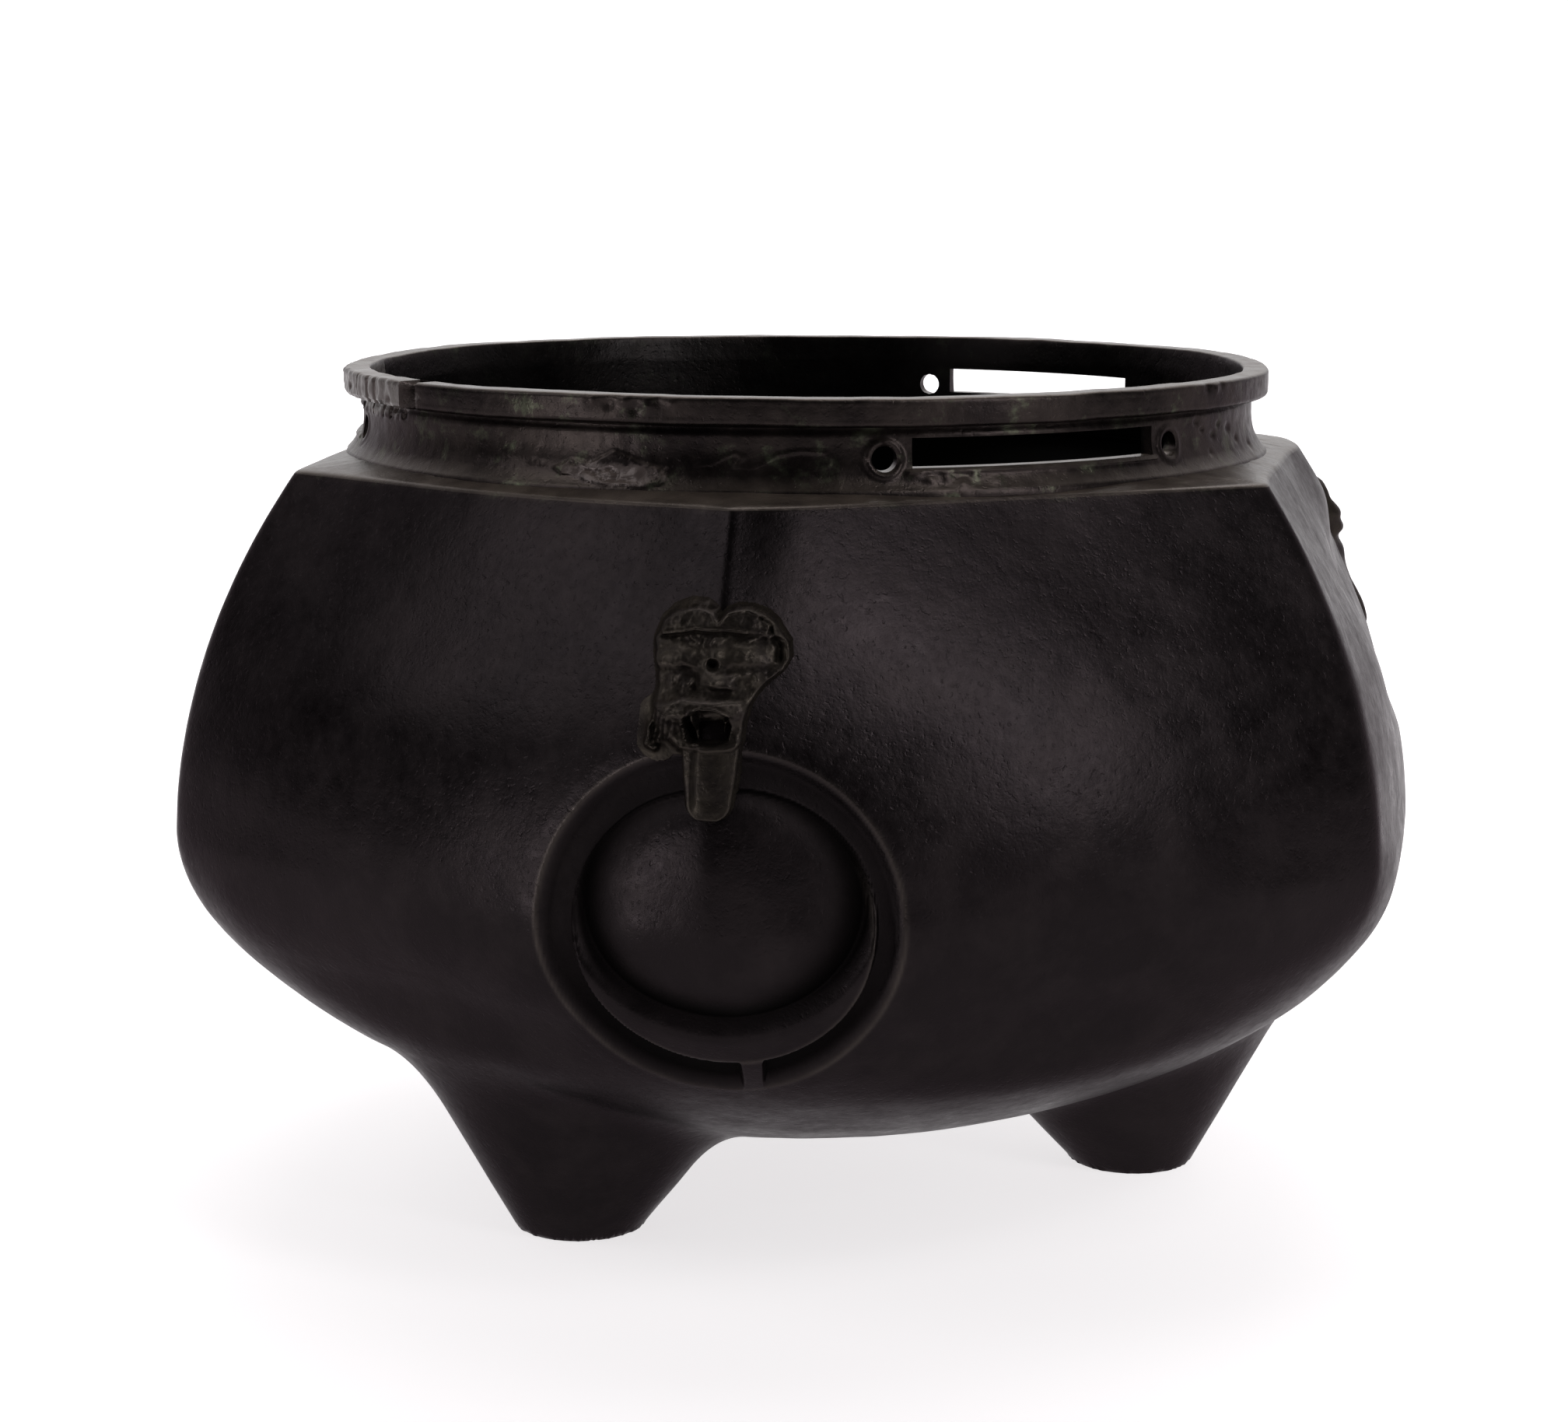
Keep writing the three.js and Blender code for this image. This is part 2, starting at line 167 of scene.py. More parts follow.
def outline_distance(x, y, points):
    """Distance of each place from the closed outline through the points, positive inside it."""
    closed = [points[-1], *points]
    inside = np.zeros(x.shape, bool)
    for (x0, y0), (x1, y1) in zip(closed[:-1], closed[1:]):
        rise = (y1 - y0) or 1e-9
        inside ^= ((y0 > y) != (y1 > y)) & (x < (x1 - x0) * (y - y0) / rise + x0)
    near = line_distance(x, y, closed)
    return np.where(inside, near, -near)


# Seeded smooth noise: a few octaves of value noise on a lattice
LATTICE_SIDE = 64
RNG = np.random.default_rng(41)
LATTICE = RNG.random((LATTICE_SIDE,) * 3) * 2 - 1


def noise(p, size, octaves=3):
    total = np.zeros(p.shape[:-1])
    weight = 1.0
    scale = 1.0 / size
    for k in range(octaves):
        q = p * scale + 17.3 * k
        i = np.floor(q).astype(int)
        f = q - i
        f = f * f * (3 - 2 * f)
        value = 0
        for corner in np.ndindex(2, 2, 2):
            share = 1
            for axis, far in enumerate(corner):
                share = share * (f[..., axis] if far else 1 - f[..., axis])
            at = tuple((i[..., axis] + far) % LATTICE_SIDE for axis, far in enumerate(corner))
            value = value + share * LATTICE[at]
        total = total + value * weight
        weight *= 0.5
        scale *= 2.03
    return total


# Form of the belly
def plan_share(bearing, z):
    """Radius at a bearing, as a share of the radius over the corners."""
    phase = np.interp(np.mod(bearing, 360), CORNERS, np.arange(len(CORNERS)) * 2 * HALF_FACE)
    above = z - WIDEST
    level = np.where(above > 0, above / (CREASE - WIDEST), above / (WIDEST - BASE))
    blunt = BLUNT_LOW + (BLUNT_HIGH - BLUNT_LOW) * smooth(level, 0.3, 0.8)
    to_corner = HALF_FACE - np.abs(np.mod(phase, 2 * HALF_FACE) - HALF_FACE)
    from_middle = np.radians(np.maximum(HALF_FACE - np.sqrt(to_corner ** 2 + blunt ** 2), 0))
    flattest = np.cos(np.radians(HALF_FACE))
    flat = flattest / np.cos(from_middle)
    wave = 1 - (1 - flattest) * (1 - np.cos(np.radians(phase * 6))) / 2
    side = flat + (wave - flat) * (1 - smooth(level, -0.3, 0.1))
    return side + (1 - side) * smooth_table(level, ROUND_LEVEL, ROUND_VALUE)


def upper_radius(z, inset=0.0):
    rise = np.clip((z - WIDEST) / (UP_REACH - inset), 0, 1)
    return (BELLY - inset) * np.sqrt(1 - rise ** UP_POWER)


def underside(r, inset=0.0):
    out = np.clip(r / (BELLY - inset), 0, 1)
    drop = (1 - out ** LOW_RADIUS_POWER) ** (1 / LOW_POWER)
    return soft_max(WIDEST - (LOW_REACH - inset) * drop, BASE + inset, BASE_SOFT)


LOW_R = np.linspace(0, BELLY, 4000)
LOW_Z = underside(LOW_R)


def corner_radius(z):
    return np.where(z > WIDEST, upper_radius(z), np.interp(z, LOW_Z, LOW_R))


def upper_growth(bearing, z):
    """How far the upper wall stands outside the plain form."""
    grow = np.zeros(np.broadcast(bearing, z).shape)
    for middle in FEET:
        away = turn_from(bearing, middle + FACE_BOW_TURN)
        grow = grow + FACE_BOW * np.cos(np.radians(np.clip(away * 3, -90, 90))) ** 2
    for corner, _ in MASKS:
        away = turn_from(bearing, corner)
        left, right = FRONT_CUT_WIDTHS if corner == 0 else OTHER_CUT_WIDTHS
        grow = grow - CORNER_CUT * bell(away, np.where(away < 0, left, right))
    bulge = BULGE * bell(turn_from(bearing, BULGE_AT), BULGE_WIDE) * smooth(z, 156, 172)
    hollow = HOLLOW * bell(turn_from(bearing, HOLLOW_AT), HOLLOW_WIDE)
    hollow = hollow * smooth(z, 112, 126) * (1 - smooth(z, 150, 164))
    return grow * smooth(z, UPPER_WALL, CREASE) + bulge - hollow


def wall_radius(bearing, z):
    return corner_radius(z) * plan_share(bearing, z) + upper_growth(bearing, z)


# Ring groove: x is the way across and y the height, both from the ring's centre
def ring_place(x, y):
    """The groove's inner edge, the distance from the centre, and the place in the dish (1 on its edge)."""
    inner = RING_INNER + RING_SHIFT * np.clip(x / RING_INNER, 0, 1)
    dish = np.hypot((x - DISH_X) / DISH_WIDE, (y - DISH_Y) / DISH_HIGH)
    return inner, np.hypot(x, y), dish


def bridge(x, y):
    """1 on the bridge left uncut at the bottom of the groove, 0 beside it."""
    along = x - BRIDGE_X - BRIDGE_LEAN * (y + 38)
    return smooth(BRIDGE_HALF - np.abs(along), -0.45, 0.45) * (y < -20)


def ring_depth(x, y):
    """Height over the wall, so negative in the groove and in the valley."""
    inner, rho, dish = ring_place(x, y)
    # the cushion lies higher than the ring does, so its valley runs into the groove above and leaves a
    # strip of wall between them below
    flank = 0.66 - 0.28 * smooth(x, -6, 6)
    cushion = (1 - (1 - np.clip((1 - dish) / flank, 0, 1)) ** 2.3) ** 0.74
    bank = smooth(dish, 0.995, 1.13)
    valley = -DISH_DEPTH * (1 - np.maximum(cushion * (dish < 1), bank))
    valley = valley * (1 - smooth(rho, inner - 1.2, inner + 0.3))
    floor = -RING_DEPTH * (1 - 0.12 * ((rho - (inner + RING_FLOOR) / 2) / 3) ** 2)
    walls = smooth(rho, inner - 1.0, inner + 0.15) * (1 - smooth(rho, RING_FLOOR - 0.3, RING_RIM))
    depth = -soft_max(-valley, -floor * walls, 0.5)
    uncut = bridge(x, y) * (rho > inner - 1.5)
    return depth * (1 - uncut) * (1 - smooth(rho, RING_RIM + 0.3, RING_RIM + 3.5))


def ring_shade_and_highlight(x, y):
    """Painted shade in the valley and the groove, and painted highlights along the groove's edges, both from
    0 to 1.
    """
    inner, rho, dish = ring_place(x, y)
    # painted shade: black in the valley round the cushion and in the groove, stronger towards the groove's
    # bottom
    reach = np.where(dish < 0.97, 0.17 + 0.06 * smooth(x, 5, 25), 0.09)
    in_valley = bell(dish - 0.97, reach) * (1 - smooth(rho, inner - 0.6, inner + 1.2))
    in_groove = smooth(rho, inner - 0.3, inner + 0.6) * (1 - smooth(rho, RING_RIM - 2.6, RING_RIM - 0.6))
    in_groove = (0.5 + 0.3 * smooth(-y, 0, 25)) * in_groove * (1 - bridge(x, y))
    # painted highlights: a bright line on the groove's outer edge, strongest on its left and right, and one
    # along its inner edge towards the lower right
    outer_line = bell(rho - RING_RIM + 0.2, 0.5) * (0.55 + 0.45 * smooth(np.abs(x), 8, 30))
    inner_line = bell(rho - inner + 0.9, 0.5) * smooth(0.5 * x - y, -2, 14)
    return np.maximum(in_valley, in_groove), np.maximum(outer_line, inner_line)


# Meshes
def spaced(lo, hi, spacing, exact=()):
    """Values from lo to hi, spaced as spacing(value) says, with the exact ones among them."""
    fine = np.linspace(lo, hi, 40001)
    density = 1 / spacing(fine)
    total = np.concatenate([[0], np.cumsum((density[1:] + density[:-1]) / 2 * np.diff(fine))])
    stops = sorted({lo, hi, *(e for e in exact if lo < e < hi)})
    out = []
    for a, b in zip(stops[:-1], stops[1:]):
        ta, tb = np.interp([a, b], fine, total)
        n = max(int(round(tb - ta)), 1)
        out.append(np.interp(np.linspace(ta, tb, n + 1)[:-1], total, fine))
    return np.concatenate([*out, [hi]])


def grid_normals(P):
    """Normals of a grid of points whose first direction closes on itself."""
    n = np.cross(np.roll(P, -1, 0) - np.roll(P, 1, 0), np.gradient(P, axis=1))
    return n / np.maximum(np.linalg.norm(n, axis=-1, keepdims=True), 1e-9)


def mesh_object(name, verts, faces, normals=None):
    mesh = bpy.data.meshes.new(name)
    faces = np.asarray(faces)
    verts = np.asarray(verts) * 0.001
    mesh.vertices.add(len(verts))
    mesh.vertices.foreach_set("co", verts.astype(np.float32).ravel())
    corners = faces.shape[1]
    mesh.loops.add(faces.size)
    mesh.loops.foreach_set("vertex_index", faces.astype(np.int32).ravel())
    mesh.polygons.add(len(faces))
    mesh.polygons.foreach_set("loop_start", np.arange(0, faces.size, corners, dtype=np.int32))
    mesh.polygons.foreach_set("loop_total", np.full(len(faces), corners, dtype=np.int32))
    mesh.update(calc_edges=True)
    mesh.validate()
    mesh.polygons.foreach_set("use_smooth", np.ones(len(mesh.polygons), dtype=bool))
    if normals is not None:
        mesh.normals_split_custom_set_from_vertices(np.asarray(normals, dtype=np.float32).tolist())
    obj = bpy.data.objects.new(name, mesh)
    bpy.context.scene.collection.objects.link(obj)
    return obj


def used_points(points, faces):
    """The points that the faces use, the faces with their new numbers, and which points these are."""
    used = np.zeros(len(points), bool)
    used[faces.ravel()] = True
    return points[used], (np.cumsum(used) - 1)[faces], used


def mark(obj, name, values):
    """A number at every vertex, for the material to read."""
    layer = obj.data.attributes.new(name, "FLOAT", "POINT")
    layer.data.foreach_set("value", np.asarray(values, np.float32).ravel())


def quads(ni, nj, wrap=False, flip=False):
    i = np.arange(ni if wrap else ni - 1)
    j = np.arange(nj - 1)
    I, J = np.meshgrid(i, j, indexing="ij")
    I2 = (I + 1) % ni
    f = np.stack([I * nj + J, I2 * nj + J, I2 * nj + J + 1, I * nj + J + 1], -1).reshape(-1, 4)
    return f[:, ::-1] if flip else f


# Belly skin: a grid of columns, by bearing, and rows from the underside's middle to the crease
def column_spacing(b):
    s = np.full_like(b, 0.95)
    for corner, _ in MASKS:
        s = np.minimum(s, 0.225 + 0.7 * smooth(np.abs(turn_from(b, corner)), 16.2, 20))
    for foot in FEET:
        s = np.minimum(s, 0.5 + 0.45 * smooth(np.abs(turn_from(b, foot)), 13, 20))
    for corner in (60, 180, 300):
        s = np.minimum(s, 0.4 + 0.5 * smooth(np.abs(turn_from(b, corner)), 2, 5))
    return s


START = 297.5
columns = spaced(START, START + 360, column_spacing, exact=(300, 360, 420, 475, 540, 600))[:-1]


def profile_rows():
    swing = np.linspace(1, 0, 3000)
    rc_low = BELLY * (1 - np.cos(np.pi / 2 * (1 - swing)) ** 2) ** (1 / LOW_RADIUS_POWER)
    z_up = np.linspace(WIDEST, CREASE, 3000)[1:]
    rc = np.concatenate([rc_low, upper_radius(z_up)])
    z = np.concatenate([underside(rc_low), z_up])
    s = np.concatenate([[0], np.cumsum(np.hypot(np.diff(rc), np.diff(z)))])
    # the spacing from the feet, the lower wall, the rings, the upper wall and the crease's edge on
    starts = (np.interp(47.0, rc, s), s[np.argmax(rc > 126)], s[np.argmax(z > 50)],
              s[np.argmax(z > 149)], s[-1] - 3)

    def spacing(v):
        d = np.full_like(v, 4.0)
        for start, step in zip(starts, (1.0, 1.2, 0.6, 1.5, 0.4)):
            d = np.where(v > start, step, d)
        return d

    rows = spaced(0, s[-1], spacing)
    return np.interp(rows, s, rc), np.interp(rows, s, z)


def ring_fields(B, Z):
    """The ring grooves' depth, painted shade and painted highlights over the whole skin."""
    depth, painted_shade, painted_highlight = (np.zeros_like(Z) for _ in range(3))
    for corner, lift in MASKS:
        away = turn_from(B, corner)
        x = np.radians(away) * ACROSS
        y = Z - RING_Z - lift
        y = np.where(y < 0, y / RING_STRETCH, y)
        near = (np.abs(away) < 20) & (np.hypot(x, y) < RING_FIELD)
        ring_shade, ring_highlight = ring_shade_and_highlight(x, y)
        depth = np.where(near, ring_depth(x, y), depth)
        painted_shade = np.where(near, ring_shade, painted_shade)
        painted_highlight = np.where(near, ring_highlight, painted_highlight)
    return depth, painted_shade, painted_highlight


def add_foot(P, foot):
    """Draws the underside down to a foot with a flat sole."""
    a = np.radians(foot)
    dx = P[..., 0] - FOOT_CIRCLE * np.sin(a)
    dy = P[..., 1] + FOOT_CIRCLE * np.cos(a)
    d = np.hypot(dx, dy)
    # points near the sole's edges move onto them
    move = np.zeros_like(d)
    for edge in (FOOT_RADIUS - FOOT_EDGE, FOOT_RADIUS):
        move = np.where(np.abs(d - edge) < 0.45, edge - d, move)
    move = move * (P[..., 2] < 60)
    P[..., 0] += dx / np.maximum(d, 1) * move
    P[..., 1] += dy / np.maximum(d, 1) * move
    d = d + move
    toward = (dx * np.sin(a) - dy * np.cos(a)) / np.maximum(d, 1e-6)
    slope = FOOT_IN + (FOOT_OUT - FOOT_IN) * (1 + toward) / 2
    t = np.clip((d - FOOT_RADIUS + FOOT_EDGE) / FOOT_EDGE, 0, 1)
    edge = FOOT_EDGE * (1 - np.sqrt(np.maximum(1 - t * t, 0)))
    side = np.where(d > FOOT_RADIUS, FOOT_EDGE + (d - FOOT_RADIUS) * slope, edge)
    side = side + 0.25 * noise(P, 11, 2) * smooth(d, FOOT_RADIUS, FOOT_RADIUS + 8)
    low = P[..., 2] < FOOT_TOP
    P[..., 2] = np.where(low, soft_min(P[..., 2], side, FOOT_BLEND), P[..., 2])
    P[..., 2] = np.where(low & (d < FOOT_RADIUS - FOOT_EDGE + 0.01), 0.0, P[..., 2])
    P[..., 2] = np.maximum(P[..., 2], 0.0)


SHOULDER_SHARES = np.concatenate([[0.03, 0.07, 0.12], np.linspace(0.2, 1, 12)])


def add_shoulder(P):
    """Adds the strip from the crease to inside the neck, with a rubbed, rounded edge on the crease."""
    crease = P[:, -1]
    edge_r = np.hypot(crease[:, 0], crease[:, 1])
    bearing = np.arctan2(crease[:, 0], -crease[:, 1])
    lengths = np.maximum(edge_r - NECK_BASE_RADIUS + 1.6, 1.2)
    strip = []
    for share in SHOULDER_SHARES:
        r = edge_r - lengths * share
        rise = (NECK_BASE - CREASE) * np.clip(share * 1.05, 0, 1) * np.clip(lengths / 6, 0.15, 1)
        z = CREASE + rise + 0.15 * np.sin(bearing * 9 + 3) * share
        strip.append(about_axis(r, np.degrees(bearing), z))
    count = len(SHOULDER_SHARES)
    P = np.concatenate([P, np.stack(strip, 1)], 1)
    P[:, -count:, 2] += 0.12 * noise(P[:, -count:], 5, 3) * smooth(SHOULDER_SHARES, 0.1, 0.4)[None, :]
    last = P.shape[1] - count - 1
    for _ in range(5):
        edge = P[:, last - 5:last + 4].copy()
        edge[:, 1:-1] = 0.25 * edge[:, :-2] + 0.5 * edge[:, 1:-1] + 0.25 * edge[:, 2:]
        P[:, last - 5:last + 4] = edge
    return P


def skin_points():
    rc, zz = profile_rows()
    B, RC = np.meshgrid(columns, rc, indexing="ij")
    Z = np.broadcast_to(zz, B.shape)
    base = about_axis(RC * plan_share(B, Z) + upper_growth(B, Z), B, Z)
    normal = grid_normals(base)
    out = np.sign((normal * base * [1, 1, 0] - normal * [0, 0, 40]).sum(-1).mean())
    depth, painted_shade, painted_highlight = ring_fields(B, Z)
    # uneven casting
    depth = depth + 0.30 * noise(base, 46, 2) + 0.07 * noise(base, 9, 2)
    P = base + normal * out * depth[..., None]
    for foot in FEET:
        add_foot(P, foot)
    P = add_shoulder(P)
    strip = ((0, 0), (0, len(SHOULDER_SHARES)))
    return P, out, np.pad(painted_shade, strip), np.pad(painted_highlight, strip)


def belly_pieces():
    skin, outward, painted_shade, painted_highlight = skin_points()
    normals = grid_normals(skin) * outward
    ni, nj = skin.shape[:2]
    cuts = [int(np.argmin(np.abs(columns - c))) for c in (START, START + 120, START + 240)] + [ni]
    sectors = []
    for k, name in enumerate(("belly_front", "belly_right", "belly_left")):
        index = np.arange(cuts[k], cuts[k + 1] + 1) % ni
        face = quads(len(index), nj, flip=outward < 0)
        sector = mesh_object(name, skin[index].reshape(-1, 3), face, normals[index].reshape(-1, 3))
        # the grooves' painted shade and painted highlights, for the material to read
        mark(sector, "painted_shade", painted_shade[index])
        mark(sector, "painted_highlight", painted_highlight[index])
        sectors.append(sector)
    return sectors


# Neck and lip: a closed ring with its slots and holes let in
def neck_columns():
    ends = [s + side * half for s, half in SLOTS for side in (-1, 1)]
    exact = [a if a > START else a + 360 for a in ends]
    # finer on the side that faces the camera
    return spaced(START, START + 360, lambda b: 0.27 + 0.55 * smooth(np.abs(turn_from(b, 5)), 92, 98),
                  exact=exact)[:-1]


LIP_SIDE_ROWS, LIP_TOP_ROWS = 18, 9


def lip_profile():
    """Radius and height of the lip's rows: its outer side, its flat top and its inner side."""
    quarter = np.radians(np.linspace(0, 90, 5))
    high = TOP - LIP_BOTTOM
    rows = [(LIP - LIP_UNDER_ROUND * (1 - np.sin(a)), LIP_BOTTOM + LIP_UNDER_ROUND * (1 - np.cos(a)))
            for a in quarter]
    rows += [(LIP - 0.15 * (1 - math.sin((z - LIP_BOTTOM) / high * math.pi)), z)
             for z in np.linspace(LIP_BOTTOM + 1.6, TOP - 1.6, 8)]
    rows += [(LIP - LIP_TOP_ROUND * (1 - np.cos(a)), TOP - LIP_TOP_ROUND * (1 - np.sin(a)))
             for a in quarter]
    rows += [(r, TOP) for r in np.linspace(LIP - 1.6, MOUTH + 0.8, LIP_TOP_ROWS)]
    rows += [(MOUTH + MOUTH_ROUND * (1 - np.sin(a)), TOP - MOUTH_ROUND * (1 - np.cos(a)))
             for a in np.radians(np.linspace(0, 90, 4))]
    rows += [(MOUTH - (TOP - z) / high * 0.6, z) for z in np.linspace(TOP - 1.4, LIP_BOTTOM + 0.8, 6)]
    return np.array(rows)


def neck_profile():
    """Radius and height of the rows up the outside, over the lip and down the inside, and how many rows
    the outside and the lip have."""
    z = np.concatenate([[NECK_START, NECK_START + 0.8], np.linspace(NECK_BASE, SLOT_LOW, 12),
                        np.linspace(SLOT_LOW, SLOT_HIGH, 16)[1:],
                        np.linspace(SLOT_HIGH, LIP_BOTTOM - 0.3, 7)[1:]])
    t = np.clip((z - NECK_BASE) / NECK_FLARE, 0, 1)
    r = NECK + (NECK_BASE_RADIUS - NECK) * (1 - t) ** NECK_FLARE_POWER * 0.9 + 0.5 * (1 - t)
    r = np.where(z > 196, r - 0.55 * smooth(z, 196, 197.8), r)
    r = np.where(z < NECK_BASE, NECK_BASE_RADIUS + 0.4, r)
    lip = lip_profile()
    R = np.concatenate([r, lip[:, 0], np.full_like(z, BORE), [BORE + 0.4, BORE + 2]])
    Z = np.concatenate([z, lip[:, 1], z[::-1], [179.5, 177.5]])
    return R, Z, len(z), len(lip)


# Lumps and pits as bearing, height, half width across, half width up if it is another, and rise
SPILT_METAL = [
    (19.2, 187.6, 2.0, 1.2, 0.5), (21.0, 186.6, 1.6, 1.0, 0.6), (22.9, 187.0, 1.3, 0.9, 0.5),
    (24.7, 185.6, 1.8, 0.9, 0.5), (26.2, 187.2, 1.0, 0.8, 0.35), (28.8, 186.0, 1.4, 0.8, 0.3)]
NECK_PITS = [
    (61.5, 195.2, 1.2, 0.96, -0.5), (62.9, 193.2, 0.8, 0.64, -0.5), (65.8, 191.4, 1.2, 0.96, -0.5),
    (67.5, 193.8, 0.9, 0.72, -0.4), (70.9, 192.4, 1.5, 1.2, -0.5), (73.6, 189.4, 1.2, 0.96, -0.4),
    (78.8, 187.2, 1.6, 1.28, -0.4), (64.2, 187.7, 0.9, 0.72, -0.3)]
SCAB_LUMPS = [
    (-19.5, 186.9, 1.3, 0.8, -0.5), (-12.2, 187.6, 1.2, 1.0, 0.35), (-26.0, 189.0, 0.9, 0.7, 0.35),
    (-24.6, 188.6, 0.8, 0.6, 0.3)]
LIP_CHIPS = [
    (-69, 196.6, 1.0, -1.0), (-53.5, 197.4, 1.1, -1.2), (-50.9, 199.7, 1.0, -1.1),
    (-50.6, 196.3, 1.0, -1.0), (-66, 201, 0.8, -0.7), (-73.5, 202.5, 0.8, -0.6)]
LIP_LUMPS = [
    (-17.1, 203.2, 1.4, 0.35), (-15.0, 202.3, 1.2, -0.45), (-13.2, 203.2, 1.0, 0.4),
    (-12.0, 201.6, 1.1, -0.45), (-10.6, 202.4, 1.0, 0.35), (-9.2, 203.4, 0.9, -0.35),
    (-7.6, 203.0, 0.8, 0.3), (60.6, 203.6, 1.2, -0.5), (62.5, 203.0, 1.0, 0.4),
    (64.0, 204.0, 1.0, -0.4)]
SHARP = 2.6
# Lines and outlines as bearings and heights
MOULD_SEAM = [
    (-5.4, 189.6), (-3.6, 190.0), (-2.3, 191.3), (-1.0, 192.4), (-0.1, 191.5), (-0.6, 190.2),
    (-1.0, 189.5), (0.6, 189.2), (1.7, 189.6), (3.1, 191.2), (3.9, 192.1), (6.5, 192.9), (9.2, 192.6),
    (9.7, 191.0), (9.5, 189.5), (7.3, 188.8)]
SCAB = [
    (-23.4, 187.9), (-22.2, 188.9), (-20.8, 189.9), (-18.2, 189.3), (-16.9, 190.6), (-15.2, 192.1),
    (-12.8, 190.8), (-11.4, 189.6), (-9.5, 189.0), (-8.8, 187.2), (-9.1, 185.6), (-11.4, 184.6),
    (-15.3, 184.9), (-18.2, 185.6), (-20.3, 186.6), (-21.8, 186.8)]
SCAB_CRACKS = [
    ([(-20.8, 189.4), (-19.3, 187.9), (-17.4, 187.4), (-15.6, 188.3), (-14.4, 187.2), (-14.9, 185.7)],
     -0.6),
    ([(-17.4, 187.4), (-16.4, 186.3), (-14.9, 185.7), (-12.5, 186.2)], -0.5)]
# The patch let into the lip: the bearings of its ends and of its cracks, and its seam's height
PATCH_START, PATCH_END = -90, -50.4
PATCH_CRACKS = (-61.8, -55.0, -57.6, -70.5, -78.0)
PATCH_SEAM_Z = 198.7


def lumps(arc, z, radius, table, power=2.0):
    h = np.zeros_like(arc)
    for bearing, height, *size, rise in table:
        away = np.hypot((arc - np.radians(bearing) * radius) / size[0], (z - height) / size[-1])
        h = h + rise * bell(away, 1, power)
    return h


def on_neck(points):
    return [(math.radians(bearing) * NECK_ARC, z) for bearing, z in points]


def neck_relief(b, z, n):
    """Height of the neck's outer detail. The noise n frets the scab's outline."""
    arc = np.radians(turn_from(b, 0)) * NECK_ARC
    h = np.zeros_like(arc)
    # collars round the holes, strongest round the left one of the front group, and a thin raised line
    # along each slot's lower edge
    for (s, half), strength in zip(SLOTS, (1.0, 0.6, 0.6)):
        for side, share in ((-1, 1.0), (1, 0.55)):
            away = np.radians(turn_from(b, s + side * (half + HOLE_BEYOND))) * NECK_ARC
            rho = np.hypot(away, z - HOLE_Z)
            h = h + 0.75 * strength * share * bell(rho - 3.7, 0.75)
        edge = smooth(half + 1 - np.abs(turn_from(b, s)), 0, 0.5)
        h = h + 0.45 * bell(z - SLOT_LOW + 0.75, 0.45) * edge
    h = h + lumps(arc, z, NECK_ARC, SPILT_METAL) + lumps(arc, z, NECK_ARC, NECK_PITS, SHARP)
    h = h + 0.24 * bell(line_distance(arc, z, on_neck(MOULD_SEAM)), 0.36)
    h = h + 0.55 * smooth(outline_distance(arc, z, on_neck(SCAB)) + 0.35 * n, -0.28, 0.28)
    for points, rise in SCAB_CRACKS:
        h = h + rise * bell(line_distance(arc, z, on_neck(points)), 0.3)
    return h + lumps(arc, z, NECK_ARC, SCAB_LUMPS)


def lip_relief(b, z, n):
    """Height of the lip's detail: the patch with its wrinkles and cracks, and the chips and lumps."""
    bearing = turn_from(b, 0)
    arc = np.radians(bearing) * LIP
    patch = smooth(bearing, PATCH_START, PATCH_START + 6) * smooth(-bearing, -PATCH_END - 0.8, -PATCH_END)
    h = patch * 0.28 * (np.sin(arc * 1.15 + 1.4 * n) * 0.5 + 0.6 * n)
    for crack in PATCH_CRACKS:
        h = h - 0.55 * bell(arc - np.radians(crack) * LIP - 0.3 * n, 0.38) * patch
    h = h - 0.5 * bell(z - PATCH_SEAM_Z + 0.15 * n, 0.35) * patch
    return h + lumps(arc, z, LIP, LIP_CHIPS, SHARP) + lumps(arc, z, LIP, LIP_LUMPS)


def pierce(B, Z):
    """Moves the grid onto the holes' circles, and says which cells the slots and holes take out."""
    gone = np.zeros((B.shape[0], B.shape[1] - 1), bool)
    for s, half in SLOTS:
        away = turn_from(B, s)
        middle = ((away + np.roll(away, -1, 0)) / 2)[:, :-1]
        middle = np.where(np.abs(away[:, :-1]) < 40, middle, 180)
        height = (Z[:, 1:] + Z[:, :-1]) / 2
        gone |= (np.abs(middle) < half) & (height > SLOT_LOW) & (height < SLOT_HIGH)
        for side in (-1, 1):
            away = turn_from(B, s + side * (half + HOLE_BEYOND))
            x = np.radians(np.where(np.abs(away) < 40, away, 90)) * NECK
            y = Z - HOLE_Z
            middle_x = (x[:, :-1] + np.roll(x, -1, 0)[:, :-1]) / 2
            middle_y = (y[:, :-1] + y[:, 1:]) / 2
            hole = np.hypot(middle_x, middle_y) < HOLE_R
            by_hole = np.zeros(x.shape, bool)
            by_rest = np.zeros(x.shape, bool)
            for i, j in np.ndindex(2, 2):
                by_hole[:, j:j + hole.shape[1]] |= np.roll(hole, i, 0)
                by_rest[:, j:j + hole.shape[1]] |= ~np.roll(hole, i, 0)
            rho = np.hypot(x, y)
            border = by_hole & by_rest & (rho < HOLE_R + 1.5)
            outward = HOLE_R / np.maximum(rho, 1e-6) - 1
            B = np.where(border, B + np.degrees(x * outward / NECK), B)
            Z = np.where(border, Z + y * outward, Z)
            gone |= hole
    return B, Z, gone


